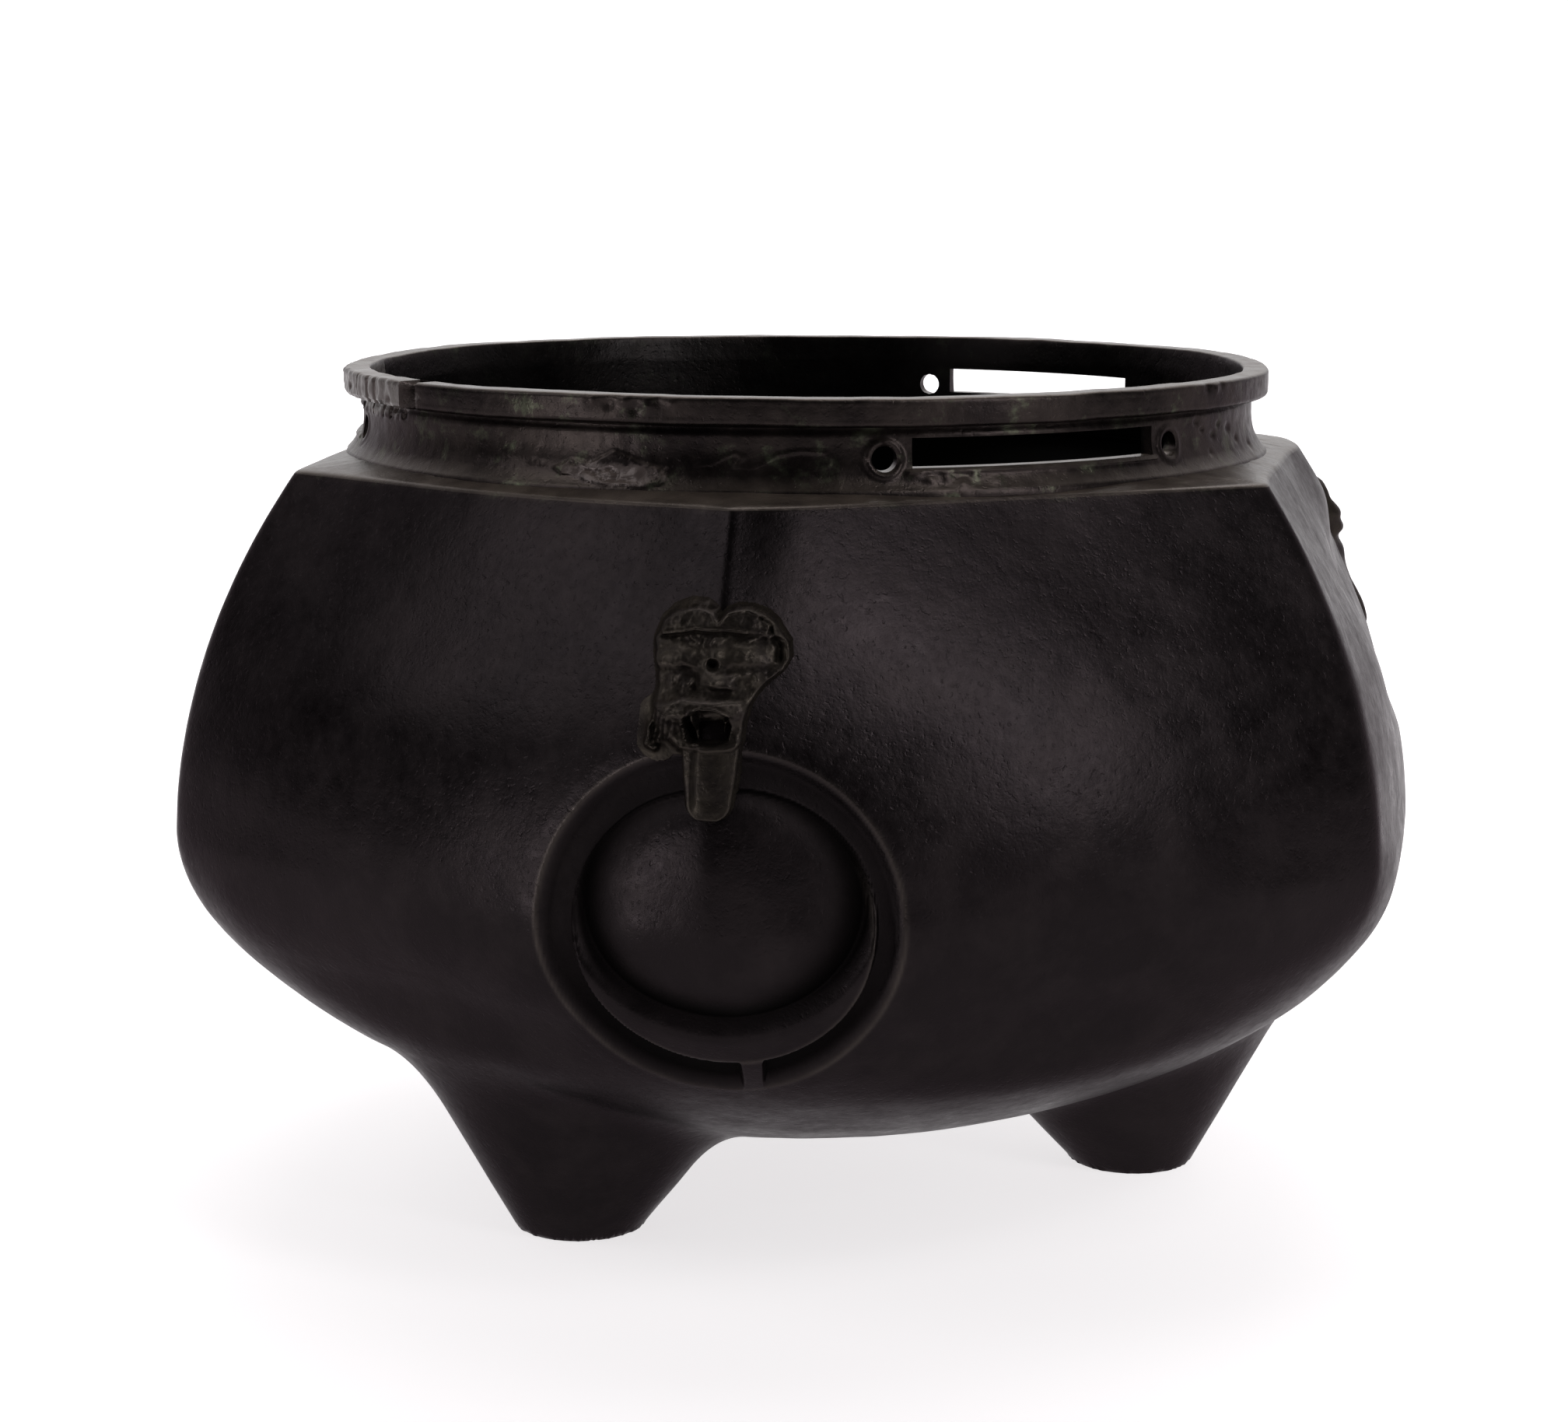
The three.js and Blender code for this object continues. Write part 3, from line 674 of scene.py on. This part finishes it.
def opening_walls(gone, rows, inner_start):
    """Faces between the neck's outer and inner skins, along the edges of the openings."""
    count, last = gone.shape
    walls = []
    for i, j in zip(*np.nonzero(gone)):
        i2 = (i + 1) % count
        for open_beyond, a, b in (
                (gone[i - 1, j], (i, j), (i, j + 1)),
                (gone[i2, j], (i2, j + 1), (i2, j)),
                (j > 0 and gone[i, j - 1], (i2, j), (i, j)),
                (j < last - 1 and gone[i, j + 1], (i, j + 1), (i2, j + 1))):
            if not open_beyond:
                outer = [column * rows + row for column, row in (a, b)]
                inner = [column * rows + inner_start + last - row for column, row in (b, a)]
                walls.append(outer + inner)
    return np.array(walls)


def neck_piece():
    R, Z, n_out, n_lip = neck_profile()
    rows = len(R)
    row = np.arange(rows)
    B, R = np.meshgrid(neck_columns(), R, indexing="ij")
    Z = np.broadcast_to(Z, B.shape).copy()
    inner_start = n_out + n_lip
    outer, inner = slice(0, n_out), slice(inner_start, inner_start + n_out)
    B[:, outer], Z[:, outer], gone = pierce(B[:, outer], Z[:, outer])
    B[:, inner], Z[:, inner] = B[:, outer][:, ::-1], Z[:, outer][:, ::-1]
    base = about_axis(R, B, Z)
    n = noise(base, 3.2, 3)
    relief = np.zeros_like(R)
    relief[:, outer] = neck_relief(B[:, outer], Z[:, outer], n[:, outer])
    relief[:, outer] *= smooth(Z[:, outer], 183.6, 184.6)
    lip = slice(n_out - 8, n_out + LIP_SIDE_ROWS)
    relief[:, lip] += lip_relief(B[:, lip], Z[:, lip], n[:, lip])
    relief += 0.10 * noise(base, 16, 2) + 0.05 * noise(base, 2.6, 2)
    R = R + relief * np.where(row >= inner_start, -0.4, 1.0)
    # the lip stands a little out of true
    plan = base * [1, 1, 0]
    uneven = 0.35 * noise(plan, 60, 2) + 0.10 * noise(plan, 7, 2)
    Z = Z + uneven * ((row >= n_out) & (row < inner_start))
    # a piece broken out of the lip
    bearing = turn_from(B, 0)
    broken = smooth(bearing, -47.9, -47.5) * smooth(-bearing, 44.3, 44.7)
    broken = broken * ((row >= n_out) & (row < n_out + LIP_SIDE_ROWS + LIP_TOP_ROWS))
    R = R - broken * np.maximum(R - (NECK + 0.2 + 0.5 * n), 0)
    Z = Z - broken * np.maximum(Z - 203.2, 0) * 0.8
    keep = np.ones((len(B), rows - 1), bool)
    keep[:, :n_out - 1] &= ~gone
    keep[:, inner_start:inner_start + n_out - 1] &= ~gone[:, ::-1]
    faces = quads(*B.shape, wrap=True)[keep.ravel()]
    faces = np.concatenate([faces, opening_walls(gone, rows, inner_start)])
    points, faces, _ = used_points(about_axis(R, B, Z).reshape(-1, 3), faces)
    neck = mesh_object("neck_and_lip", points, faces)
    neck.modifiers.new("edges", "EDGE_SPLIT").split_angle = math.radians(48)
    return neck


# Inside of the bowl
def bowl_piece():
    r_low = np.linspace(0.5, BELLY - WALL - 0.5, 26)
    z_up = np.linspace(WIDEST + 4, CREASE - WALL, 14)
    rc = np.concatenate([r_low, upper_radius(z_up, WALL)])
    z = np.concatenate([underside(r_low, WALL), z_up])
    B, RC = np.meshgrid(np.arange(0, 360, 3.0), rc, indexing="ij")
    Z = np.broadcast_to(z, B.shape)
    R = RC * plan_share(B, Z) + upper_growth(B, Z + WALL)
    # two rows more, up to the neck's bore
    top = np.zeros((len(B), 1))
    R = np.concatenate([R, top + BORE + 3, top + BORE + 0.3], 1)
    Z = np.concatenate([Z, top + CREASE - WALL + 0.3, top + CREASE - WALL + 1.5], 1)
    P = about_axis(R, np.concatenate([B, B[:, :2]], 1), Z)
    P = P + 0.3 * noise(P, 30, 2)[..., None]
    return mesh_object("bowl_inside", P.reshape(-1, 3), quads(*P.shape[:2], wrap=True, flip=True))


# Masks: x is the way across and y the height on the front corner
MASK_OUTLINE = [
    (-0.2, 160.6), (-1.2, 162.4), (-3.5, 163.4), (-7.5, 163.2), (-11.2, 161.9), (-13.6, 159.7),
    (-14.6, 156.4), (-14.2, 152.6), (-13.2, 149.4), (-12.6, 146.6), (-13.0, 144.0), (-12.6, 141.6),
    (-11.6, 139.6), (-9.6, 136.6), (-7.4, 134.6), (-2.0, 133.8), (4.0, 134.2), (5.6, 136.4), (6.0, 139.6),
    (6.9, 143.4), (8.6, 146.0), (10.6, 148.2), (13.6, 150.4), (15.3, 153.0), (15.2, 156.2), (13.6, 158.6),
    (12.4, 160.2), (10.2, 161.8), (6.6, 163.1), (3.2, 163.4), (1.2, 162.6)]
MASK_THICK = 2.3
# Rounded forms on the mask: centre, half widths, rise, and where needed a turn in degrees and a power
MASK_DOMES = [
    # lobes of the crown, then the brow bosses
    (-6.2, 160.2, 6.2, 2.6, 1.2, 0, 3), (5.6, 160.2, 6.2, 2.5, 1.3, -6, 3),
    (-8.6, 153.2, 4.2, 2.7, 1.9, 8, 3), (5.4, 153.6, 4.8, 2.6, 1.7, -8, 3),
    # eyes and cheeks
    (-8.9, 148.8, 1.1, 1.5, 1.5), (-6.5, 147.6, 1.0, 1.2, 1.4),
    (-5.2, 148.2, 0.7, 1.2, 1.1), (3.8, 149.9, 1.1, 1.1, 1.2),
    (3.4, 148.0, 1.1, 1.1, 1.3), (8.5, 149.3, 1.0, 1.4, 1.3), (6.0, 150.2, 1.2, 0.9, 0.8),
    # the nose's bulb, the hole bored at its root and the nostrils
    (1.2, 148.4, 2.6, 2.0, 1.9, 0, 3), (-2.6, 149.4, 1.4, 1.8, 1.1),
    (-0.9, 151.9, 1.15, 1.0, -3.0, 0, 3), (1.6, 146.6, 1.8, 0.9, -1.0, 0, 3),
    (-4.4, 146.9, 1.4, 1.1, -0.9),
    # muzzle
    (-2.2, 142.9, 7.6, 3.4, 4.4, 0, 3), (-9.2, 143.0, 3.4, 2.4, 1.3, 20, 3)]
# Lines on the mask: width, rise and points
MASK_LINES = [
    # rims of the crown's lobes, and the curl at their right end
    (0.5, 0.7, [(-12.6, 160.2), (-9.6, 161.9), (-5, 162.7), (-2, 162.1), (-0.3, 160.4)]),
    (0.5, 0.9, [(-0.1, 160.4), (1.6, 162.2), (5.5, 162.7), (9.4, 161.4), (11.6, 159.6), (12.0, 157.9),
                (10.6, 157.3)]),
    (0.4, 0.6, [(9.4, 160.4), (10.4, 159.6), (10.0, 158.3), (8.8, 158.2)]),
    (0.3, -0.7, [(8.6, 161.0), (11.0, 159.9), (11.2, 158.6)]),
    # brow lines, then the forehead's wrinkles
    (0.6, -0.45, [(-12.6, 156.8), (-8.2, 157.7), (-5.3, 158.4), (0.5, 158.2), (5.8, 157.4), (9.6, 157.0)]),
    (0.34, 0.75, [(-12.4, 157.5), (-8.6, 158.3), (-5.2, 159.0), (0.4, 158.8), (5.8, 158.1)]),
    (0.4, 0.5, [(6.4, 156.7), (9.8, 157.6)]),
    (0.35, 0.55, [(-6.2, 157.7), (-4.2, 156.2)]),
    (0.35, 0.55, [(-2.8, 157.4), (-3.1, 155.8)]),
    (0.35, 0.55, [(-6.0, 156.1), (-4.8, 155.9)]),
    (0.35, 0.55, [(-0.8, 157.2), (-1.6, 156.2)]),
    # hollows under the brows, the nose's ridge, the ear
    (0.7, -0.45, [(-13.2, 150.3), (-10.4, 150.9), (-6.8, 150.6), (-4.2, 149.6)]),
    (0.7, -0.4, [(2.6, 150.8), (6.2, 151.3), (9.6, 151.0), (12.0, 151.6)]),
    (1.9, 1.5, [(-0.7, 156.2), (-0.8, 152.5), (-0.4, 149.2)]),
    (0.55, 0.9, [(12.4, 158.0), (14.0, 157.4), (15.0, 155.0), (14.6, 152.0), (13.2, 150.8)]),
    (0.7, -0.8, [(11.4, 157.2), (13.0, 155.6), (13.0, 152.6)]),
    # the muzzle's fold and both lips
    (0.55, 0.6, [(-12.6, 143.4), (-9.2, 144.0), (-6.0, 145.2), (-2.0, 144.8), (2.2, 145.0), (5.4, 144.6)]),
    (0.45, 0.8, [(-4.4, 143.1), (-2.4, 143.8), (0.6, 143.6), (3.2, 142.4)]),
    (1.0, 1.0, [(-6.0, 135.6), (-2.0, 135.2), (2.6, 135.4), (4.6, 136.2)])]
MOUTH_OUTLINE = [
    (-5.6, 141.4), (-4.4, 142.7), (-2.4, 143.3), (0.4, 143.2), (2.6, 142.0), (3.3, 139.8), (2.6, 137.2),
    (0.4, 136.5), (-3.2, 136.4), (-5.2, 137.3), (-6.0, 139.4)]
MOUTH_DEEP = 4.9
FANGS = [
    (0.5, 3.6, [(-4.3, 143.4), (-4.2, 140.6), (-3.3, 136.6)]),
    (0.5, 2.2, [(-6.0, 140.4), (-5.6, 137.6)]),
    (0.55, 2.6, [(2.3, 140.6), (1.7, 138.0)])]
WHISKERS = [
    (0.42, 0.55, [(-12.3 + 1.1 * k, 142.4 - 0.4 * k), (-13.2 + 1.1 * k, 139.4 - 0.4 * k),
                  (-14.0 + 1.1 * k, 135.8 + 0.2 * k)]) for k in range(5)]
WHISKER_ROOTS = [
    (-12.6, 138.4, 3.4, 4.4, 1.0, 8, 2), (-14.2, 135.4, 1.0, 1.1, 1.2),
    (-12.7, 134.6, 1.0, 1.0, 1.0), (-13.8, 138.2, 0.8, 1.4, 0.9)]
TONGUE_ROOT, TONGUE_TIP, TONGUE_HALF, TONGUE_THICK = 134.8, 120.0, 6.1, 2.9
MASK_CELL = 0.25
MASK_CHIN = 136.5


def domes(x, y, table):
    h = np.zeros_like(x)
    for cx, cy, wide, high, rise, *form in table:
        turn, power = form or (0, 2)
        a = math.radians(turn)
        u = (x - cx) * math.cos(a) + (y - cy) * math.sin(a)
        v = -(x - cx) * math.sin(a) + (y - cy) * math.cos(a)
        h = h + rise * bell(np.hypot(u / wide, v / high), 1, power)
    return h


def lines(x, y, table):
    return sum(rise * bell(line_distance(x, y, points), width) for width, rise, points in table)


def add_tongue(x, y, h):
    t = np.clip((TONGUE_ROOT - y) / 14.6, 0, 1)
    tip = np.clip((y - TONGUE_TIP) / 4.2, 0, 1)
    half = (TONGUE_HALF - 1.3 * t) * np.sqrt(1 - (1 - tip) ** 2.4)
    away = x + 0.5 + 0.2 * t
    body = smooth(half - np.abs(away), -0.25, 0.9) * (y < 137)
    body = body * smooth(y, TONGUE_TIP - 0.1, TONGUE_TIP + 0.8)
    crown = TONGUE_THICK - 0.9 * t - 0.8 * (np.abs(away) / 6) ** 2
    h = np.maximum(h, body * crown * smooth(137 - y, 0, 1.4))
    return h - 0.35 * bell(away + 2.9, 0.5) * body * smooth(y, TONGUE_TIP + 1, TONGUE_TIP + 5)


def mask_height(x, y, n):
    """Relief of a mask and its tongue."""
    soft = 1.7 - 1.0 * smooth(x, -7, 3)
    plate = smooth(outline_distance(x, y, MASK_OUTLINE) + 0.12 * n, -soft, soft)
    h = plate * (MASK_THICK + domes(x, y, MASK_DOMES) + lines(x, y, MASK_LINES))
    h = h + lines(x, y, WHISKERS) * smooth(x, -16, -14.6) + domes(x, y, WHISKER_ROOTS)
    h = h - MOUTH_DEEP * smooth(outline_distance(x, y, MOUTH_OUTLINE) + 0.12 * n, -0.45, 0.45)
    return add_tongue(x, y, h + lines(x, y, FANGS))


def neighbours(h):
    return sum(np.roll(h, k, a) for k in (1, -1) for a in (0, 1))


def mask_piece(name, corner, lift, snout):
    xs = np.arange(-17.0, 17.01, MASK_CELL)
    ys = np.arange(118.0, 165.6, MASK_CELL)
    X, Y = np.meshgrid(xs, ys, indexing="ij")
    seed = np.stack([X + 60 * corner, Y, 0 * X], -1)
    n = noise(seed, 2.4, 3)
    h = mask_height(X + 0.22 * noise(seed + 91, 5, 2), Y + 0.22 * noise(seed + 37, 5, 2), n)
    rough = (0.20 * n + 0.12 * noise(seed + 13, 1.1, 2)) * smooth(h, 0.2, 1.2)
    h = h + rough * (0.25 + 0.75 * smooth(Y, 134, 138))
    if snout < 1:
        # worn nearly flat below the nose, and rubbed smooth all over
        h = h * (1 - (1 - snout) * smooth(-Y, -148.5, -145) * smooth(Y, 124, 136))
        for _ in range(RUBBED):
            h = (h + neighbours(h)) / 5
    z = Y + lift
    bearing = corner + np.degrees(X / ACROSS)
    own = wall_radius(bearing, z)
    ridge = wall_radius(np.full_like(z, corner), z)
    base = own + (ridge - own) * 0.5 * smooth(h, 0.2, 2.5)
    # painted shade in the hollows, and painted glints on the edges except the tongue's
    curve = neighbours(h) - 4 * h
    curve = curve + 0.5 * neighbours(curve)
    painted_shade = np.clip(curve * 2.2, 0, 1)
    painted_highlight = np.clip(-curve * 2.6 - 0.05, 0, 1) * smooth(Y, 133, 138)
    # the border dips into the wall, deeper where the groove lies below it
    shown = h > 0.08
    P = about_axis(base + np.where(shown, h, np.where(Y < MASK_CHIN, -4.2, -0.5)), bearing, z)
    face = quads(len(xs), len(ys))
    face = face[shown.ravel()[face].any(axis=1)]
    points, face, used = used_points(P.reshape(-1, 3), face)
    mask = mesh_object(name, points, face)
    mark(mask, "painted_shade", painted_shade.ravel()[used])
    mark(mask, "painted_highlight", painted_highlight.ravel()[used])
    return mask


# Materials
class Nodes:
    """Adds nodes to a tree. A value given to a node is a number, a colour or another node's output."""
    def __init__(self, tree):
        self.tree = tree

    def add(self, kind):
        return self.tree.nodes.new(kind)

    def feed(self, value, socket):
        if isinstance(value, (int, float)):
            socket.default_value = value
        elif isinstance(value, tuple):
            socket.default_value = (*value, 1)
        else:
            self.tree.links.new(value, socket)

    def coordinates(self, kind):
        return self.add("ShaderNodeTexCoord").outputs[kind]

    def axes(self, vector):
        node = self.add("ShaderNodeSeparateXYZ")
        self.feed(vector, node.inputs[0])
        return node.outputs

    def attribute(self, name):
        node = self.add("ShaderNodeAttribute")
        node.attribute_name = name
        return node.outputs["Fac"]

    def noise(self, coords, scale, detail, rough):
        node = self.add("ShaderNodeTexNoise")
        for name, value in (("Vector", coords), ("Scale", scale), ("Detail", detail), ("Roughness", rough)):
            self.feed(value, node.inputs[name])
        return node.outputs["Fac"]

    def ramp(self, value, *stops):
        """Maps the value through two stops, each a place and a shade of grey."""
        node = self.add("ShaderNodeValToRGB")
        for element, (place, shade) in zip(node.color_ramp.elements, stops):
            element.position = place
            element.color = (shade, shade, shade, 1)
        self.feed(value, node.inputs["Fac"])
        return node.outputs["Color"]

    def span(self, value, low, high, to_low=0.0, to_high=1.0, kind="LINEAR"):
        """Maps the value from one span onto another, held beyond its ends."""
        node = self.add("ShaderNodeMapRange")
        node.interpolation_type = kind
        for name, number in (("From Min", low), ("From Max", high), ("To Min", to_low), ("To Max", to_high)):
            self.feed(number, node.inputs[name])
        self.feed(value, node.inputs["Value"])
        return node.outputs[0]

    def math(self, kind, a, b=0.0):
        node = self.add("ShaderNodeMath")
        node.operation = kind
        self.feed(a, node.inputs[0])
        self.feed(b, node.inputs[1])
        return node.outputs[0]

    def times(self, a, b):
        return self.math("MULTIPLY", a, b)

    def plus(self, a, b):
        return self.math("ADD", a, b)

    def mix(self, factor, a, b):
        node = self.add("ShaderNodeMix")
        node.data_type = "RGBA"
        for slot, value in ((0, factor), (6, a), (7, b)):
            self.feed(value, node.inputs[slot])
        return node.outputs[2]


DARK_METAL, LIGHT_METAL = (0.0074, 0.0058, 0.0063), (0.0120, 0.0093, 0.0100)
MOTTLE = (0.0200, 0.0158, 0.0163)
MASK_METAL = (0.0290, 0.0240, 0.0190)
DUST, GREEN = (0.045, 0.035, 0.030), (0.075, 0.085, 0.055)
SOOT_FILM = (0.006, 0.0055, 0.0055)
# the black of the painted shade, and pale dirt
SHADE_BLACK, PALE_DIRT = (0.0012, 0.0010, 0.0010), (0.095, 0.074, 0.060)
# the brighter metal of the painted highlights, and the bare metal of the scab and patch
HIGHLIGHT_METAL, BARE_METAL = (0.072, 0.060, 0.053), (0.105, 0.080, 0.074)
# How strongly each coat covers what lies under it
DUST_SHARE, GREEN_SHARE, SOOT_SHARE, PALE_SHARE, BARE_SHARE = 0.36, 0.6, 0.85, 0.7, 0.36
# The bare scab on the neck and the patch let into the lip: place across, height, half width, half height
# and how ragged the edge is
BARE_SPOTS = ((-30.0, 187.3, 13.0, 2.7, 0.9), (-97.0, 201.0, 17.0, 6.0, 0.5))


def plain_material(name, colour, rough):
    material = bpy.data.materials.new(name)
    material.use_nodes = True
    shader = material.node_tree.nodes["Principled BSDF"]
    shader.inputs["Base Color"].default_value = (*colour, 1)
    shader.inputs["Roughness"].default_value = rough
    return material


def bare_spots(k, coords, place, height):
    spots = []
    for x, z, wide, high, ragged in BARE_SPOTS:
        u = k.times(k.plus(place["X"], -x * 0.001), 1000.0 / wide)
        v = k.times(k.plus(height, -z), 1.0 / high)
        far = k.math("SQRT", k.plus(k.times(u, u), k.times(v, v)))
        far = k.plus(far, k.times(k.plus(k.noise(coords, 260, 4, 0.7), -0.5), ragged * 2))
        spots.append(k.ramp(far, (0.75, 1.0), (1.0, 0.0)))
    return k.times(k.math("MAXIMUM", *spots), k.math("LESS_THAN", place["Y"], 0.0))


def bronze_material(name, mask=False):
    material = bpy.data.materials.new(name)
    material.use_nodes = True
    material.node_tree.nodes.clear()
    k = Nodes(material.node_tree)
    coords = k.coordinates("Object")
    place = k.axes(coords)
    height = k.times(place["Z"], 1000.0)
    mottled = k.noise(coords, 70, 6, 0.65)
    grain = k.noise(coords, 420, 5, 0.6)
    tint = k.mix(k.ramp(k.noise(coords, 14, 5, 0.6), (0.35, 0.0), (0.7, 1.0)), DARK_METAL, LIGHT_METAL)
    tint = k.mix(k.ramp(mottled, (0.45, 0.0), (0.75, 0.5)), tint, MOTTLE)
    if mask:
        patches = k.ramp(k.noise(coords, 160, 5, 0.7), (0.35, 0.25), (0.65, 1.0))
        tint = k.mix(k.times(patches, 0.9), tint, MASK_METAL)
    # dust on the neck and lip, with green spots in it
    above = k.span(height, 180.6, 183.4)
    dust = k.times(above, k.ramp(mottled, (0.35, 0.25), (0.65, 1.0)))
    tint = k.mix(k.times(dust, DUST_SHARE), tint, DUST)
    green = k.times(dust, k.ramp(k.noise(coords, 110, 5, 0.7), (0.56, 0.0), (0.68, 1.0)))
    tint = k.mix(k.times(green, GREEN_SHARE), tint, GREEN)
    # soot on the inner side of the neck
    reach = k.math("SQRT", k.plus(k.times(place["X"], place["X"]), k.times(place["Y"], place["Y"])))
    inner = k.times(k.span(k.times(reach, 1000.0), 110.4, 109.4), k.math("GREATER_THAN", height, 177.0))
    tint = k.mix(k.times(inner, SOOT_SHARE), tint, SOOT_FILM)
    # painted shade, black in the hollows, and painted highlights, brighter metal on the edges
    shade_share = k.attribute("painted_shade")
    glint_share = k.times(k.attribute("painted_highlight"), k.ramp(mottled, (0.3, 0.4), (0.6, 1.0)))
    tint = k.mix(k.times(shade_share, 0.4 if mask else 0.9), tint, SHADE_BLACK)
    tint = k.mix(k.times(glint_share, 0.12 if mask else 0.4), tint, HIGHLIGHT_METAL)
    # pale dirt lying on the crease and on the lip
    upward = k.span(k.axes(k.add("ShaderNodeNewGeometry").outputs["Normal"])["Z"], 0.45, 0.9)
    lying = k.times(upward, k.math("GREATER_THAN", height, 181.6))
    pale = k.times(lying, k.ramp(mottled, (0.3, 0.55), (0.6, 1.0)))
    tint = k.mix(k.times(pale, PALE_SHARE), tint, PALE_DIRT)
    bare = k.times(bare_spots(k, coords, place, height), above)
    tint = k.mix(k.times(bare, BARE_SHARE), tint, BARE_METAL)
    metallic = k.math("SUBTRACT", 0.92, k.times(k.math("MAXIMUM", pale, bare), 0.6))
    # the painted shade also dims the reflections' tint and roughens the surface
    sheen = k.mix(k.times(shade_share, 0.8), (0.52, 0.50, 0.51), (0.10, 0.08, 0.07))
    rough = k.plus(k.plus(k.times(mottled, 0.34), k.times(grain, 0.22)), 0.12 if mask else 0.06)
    rough = k.math("MAXIMUM", k.plus(rough, k.times(shade_share, 0.4)), 0.24)
    pits = k.ramp(k.noise(coords, 800, 2, 0.5), (0.28, 0.0), (0.4, 1.0))
    relief = k.plus(k.times(grain, 0.7), k.times(k.noise(coords, 1500, 3, 0.6), 0.25))
    relief = k.plus(relief, k.times(pits, 0.25))
    bump = k.add("ShaderNodeBump")
    for value, socket in ((0.35, "Strength"), (0.0004, "Distance"), (relief, "Height")):
        k.feed(value, bump.inputs[socket])
    shader = k.add("ShaderNodeBsdfPrincipled")
    for value, socket in ((tint, "Base Color"), (metallic, "Metallic"), (sheen, "Specular Tint"),
                          (rough, "Roughness"), (bump.outputs["Normal"], "Normal")):
        k.feed(value, shader.inputs[socket])
    k.feed(shader.outputs["BSDF"], k.add("ShaderNodeOutputMaterial").inputs["Surface"])
    return material


# The pieces, each with its material
pieces = belly_pieces() + [neck_piece(), bowl_piece()]
masks = [mask_piece(name, corner, lift, snout)
         for (corner, lift), (name, snout) in zip(MASKS, SNOUTS.items())]
pieces += masks
bronze = bronze_material("patinated_bronze")
mask_bronze = bronze_material("mask_bronze", mask=True)
soot = plain_material("sooty_inside", (0.012, 0.011, 0.0105), 0.85)
for piece in pieces:
    own = mask_bronze if piece in masks else soot if piece.name == "bowl_inside" else bronze
    piece.data.materials.append(own)
    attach(piece, "root")
    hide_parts("brazier_body")


# Floor and surroundings
def sheet_material():
    """A white sheet that glows a little more towards the back."""
    sheet = plain_material("white_sheet", (0.42, 0.405, 0.412), 0.8)
    k = Nodes(sheet.node_tree)
    shader = sheet.node_tree.nodes["Principled BSDF"]
    k.feed((1, 0.975, 0.985), shader.inputs["Emission Color"])
    strength = k.span(k.axes(k.coordinates("Object"))["Y"], -0.25, 0.7, 0.66, 1.05)
    k.feed(strength, shader.inputs["Emission Strength"])
    return sheet


def studio_world():
    """Dim surroundings, bright only behind the object."""
    world = bpy.data.worlds.new("studio")
    world.use_nodes = True
    world.node_tree.nodes.clear()
    k = Nodes(world.node_tree)
    sky = k.add("ShaderNodeBackground")
    k.feed((1, 1, 1), sky.inputs["Color"])
    behind = k.span(k.axes(k.coordinates("Generated"))["Y"], 0.05, 0.5, 0.07, 1.3, "SMOOTHSTEP")
    k.feed(behind, sky.inputs["Strength"])
    k.feed(sky.outputs[0], k.add("ShaderNodeOutputWorld").inputs[0])
    return world


scene = bpy.context.scene
floor = mesh_object("studio_floor", [(-4000, -4000, 0), (4000, -4000, 0), (4000, 9000, 0), (-4000, 9000, 0)],
                    [(0, 1, 2, 3)])
floor.data.materials.append(sheet_material())
scene.world = studio_world()
scene.view_settings.view_transform = "Standard"
scene.view_settings.look = "None"


# Lights, in metres and watts
LIGHT_DISTANCE = 1.5
# bearing, height of the lower and of the upper end, width, power
STANDING_LIGHTS = {
    "right_light": (55, 0.3, 1.75, 0.22, 13),
    "high_right_light": (50, 1.4, 2.6, 0.5, 11),
    "left_light": (-47, 0.0, 0.26, 0.2, 3),
    "high_left_light": (-64, 0.8, 2.6, 0.8, 14)}


def turn_towards(thing, direction):
    thing.rotation_euler = direction.to_track_quat("-Z", "Y").to_euler()


def area_light(name, place, target, width, power):
    data = bpy.data.lights.new(name, "AREA")
    data.energy = power
    data.size = width
    light = bpy.data.objects.new(name, data)
    light.location = place
    turn_towards(light, Vector(target) - Vector(place))
    scene.collection.objects.link(light)
    return data


area_light("top_light", (0.0, 0.7, 1.6), (0, 0.1, 0), 1.4, 14)
for name, (bearing, low, high, width, power) in STANDING_LIGHTS.items():
    middle = (low + high) / 2
    light = area_light(name, about_axis(LIGHT_DISTANCE, bearing, middle), (0, 0, middle), width, power)
    light.shape = "RECTANGLE"
    light.size_y = high - low


# Camera: its place about the vessel, and the bearing and the tilt of its line of sight
CAMERA_BEARING, CAMERA_DISTANCE, CAMERA_HEIGHT = 7.018, 0.802, 0.2606
CAMERA_LENS = 72.375
HEADING, PITCH = CAMERA_BEARING + math.degrees(0.007), 0.18
camera_data = bpy.data.cameras.new("camera")
camera_data.sensor_width = 36
camera_data.lens = CAMERA_LENS
camera_data.clip_end = 50
camera = bpy.data.objects.new("camera", camera_data)
camera.location = about_axis(CAMERA_DISTANCE, CAMERA_BEARING, CAMERA_HEIGHT)
turn_towards(camera, Vector(about_axis(-math.cos(PITCH), HEADING, -math.sin(PITCH))))
scene.collection.objects.link(camera)
scene.camera = camera
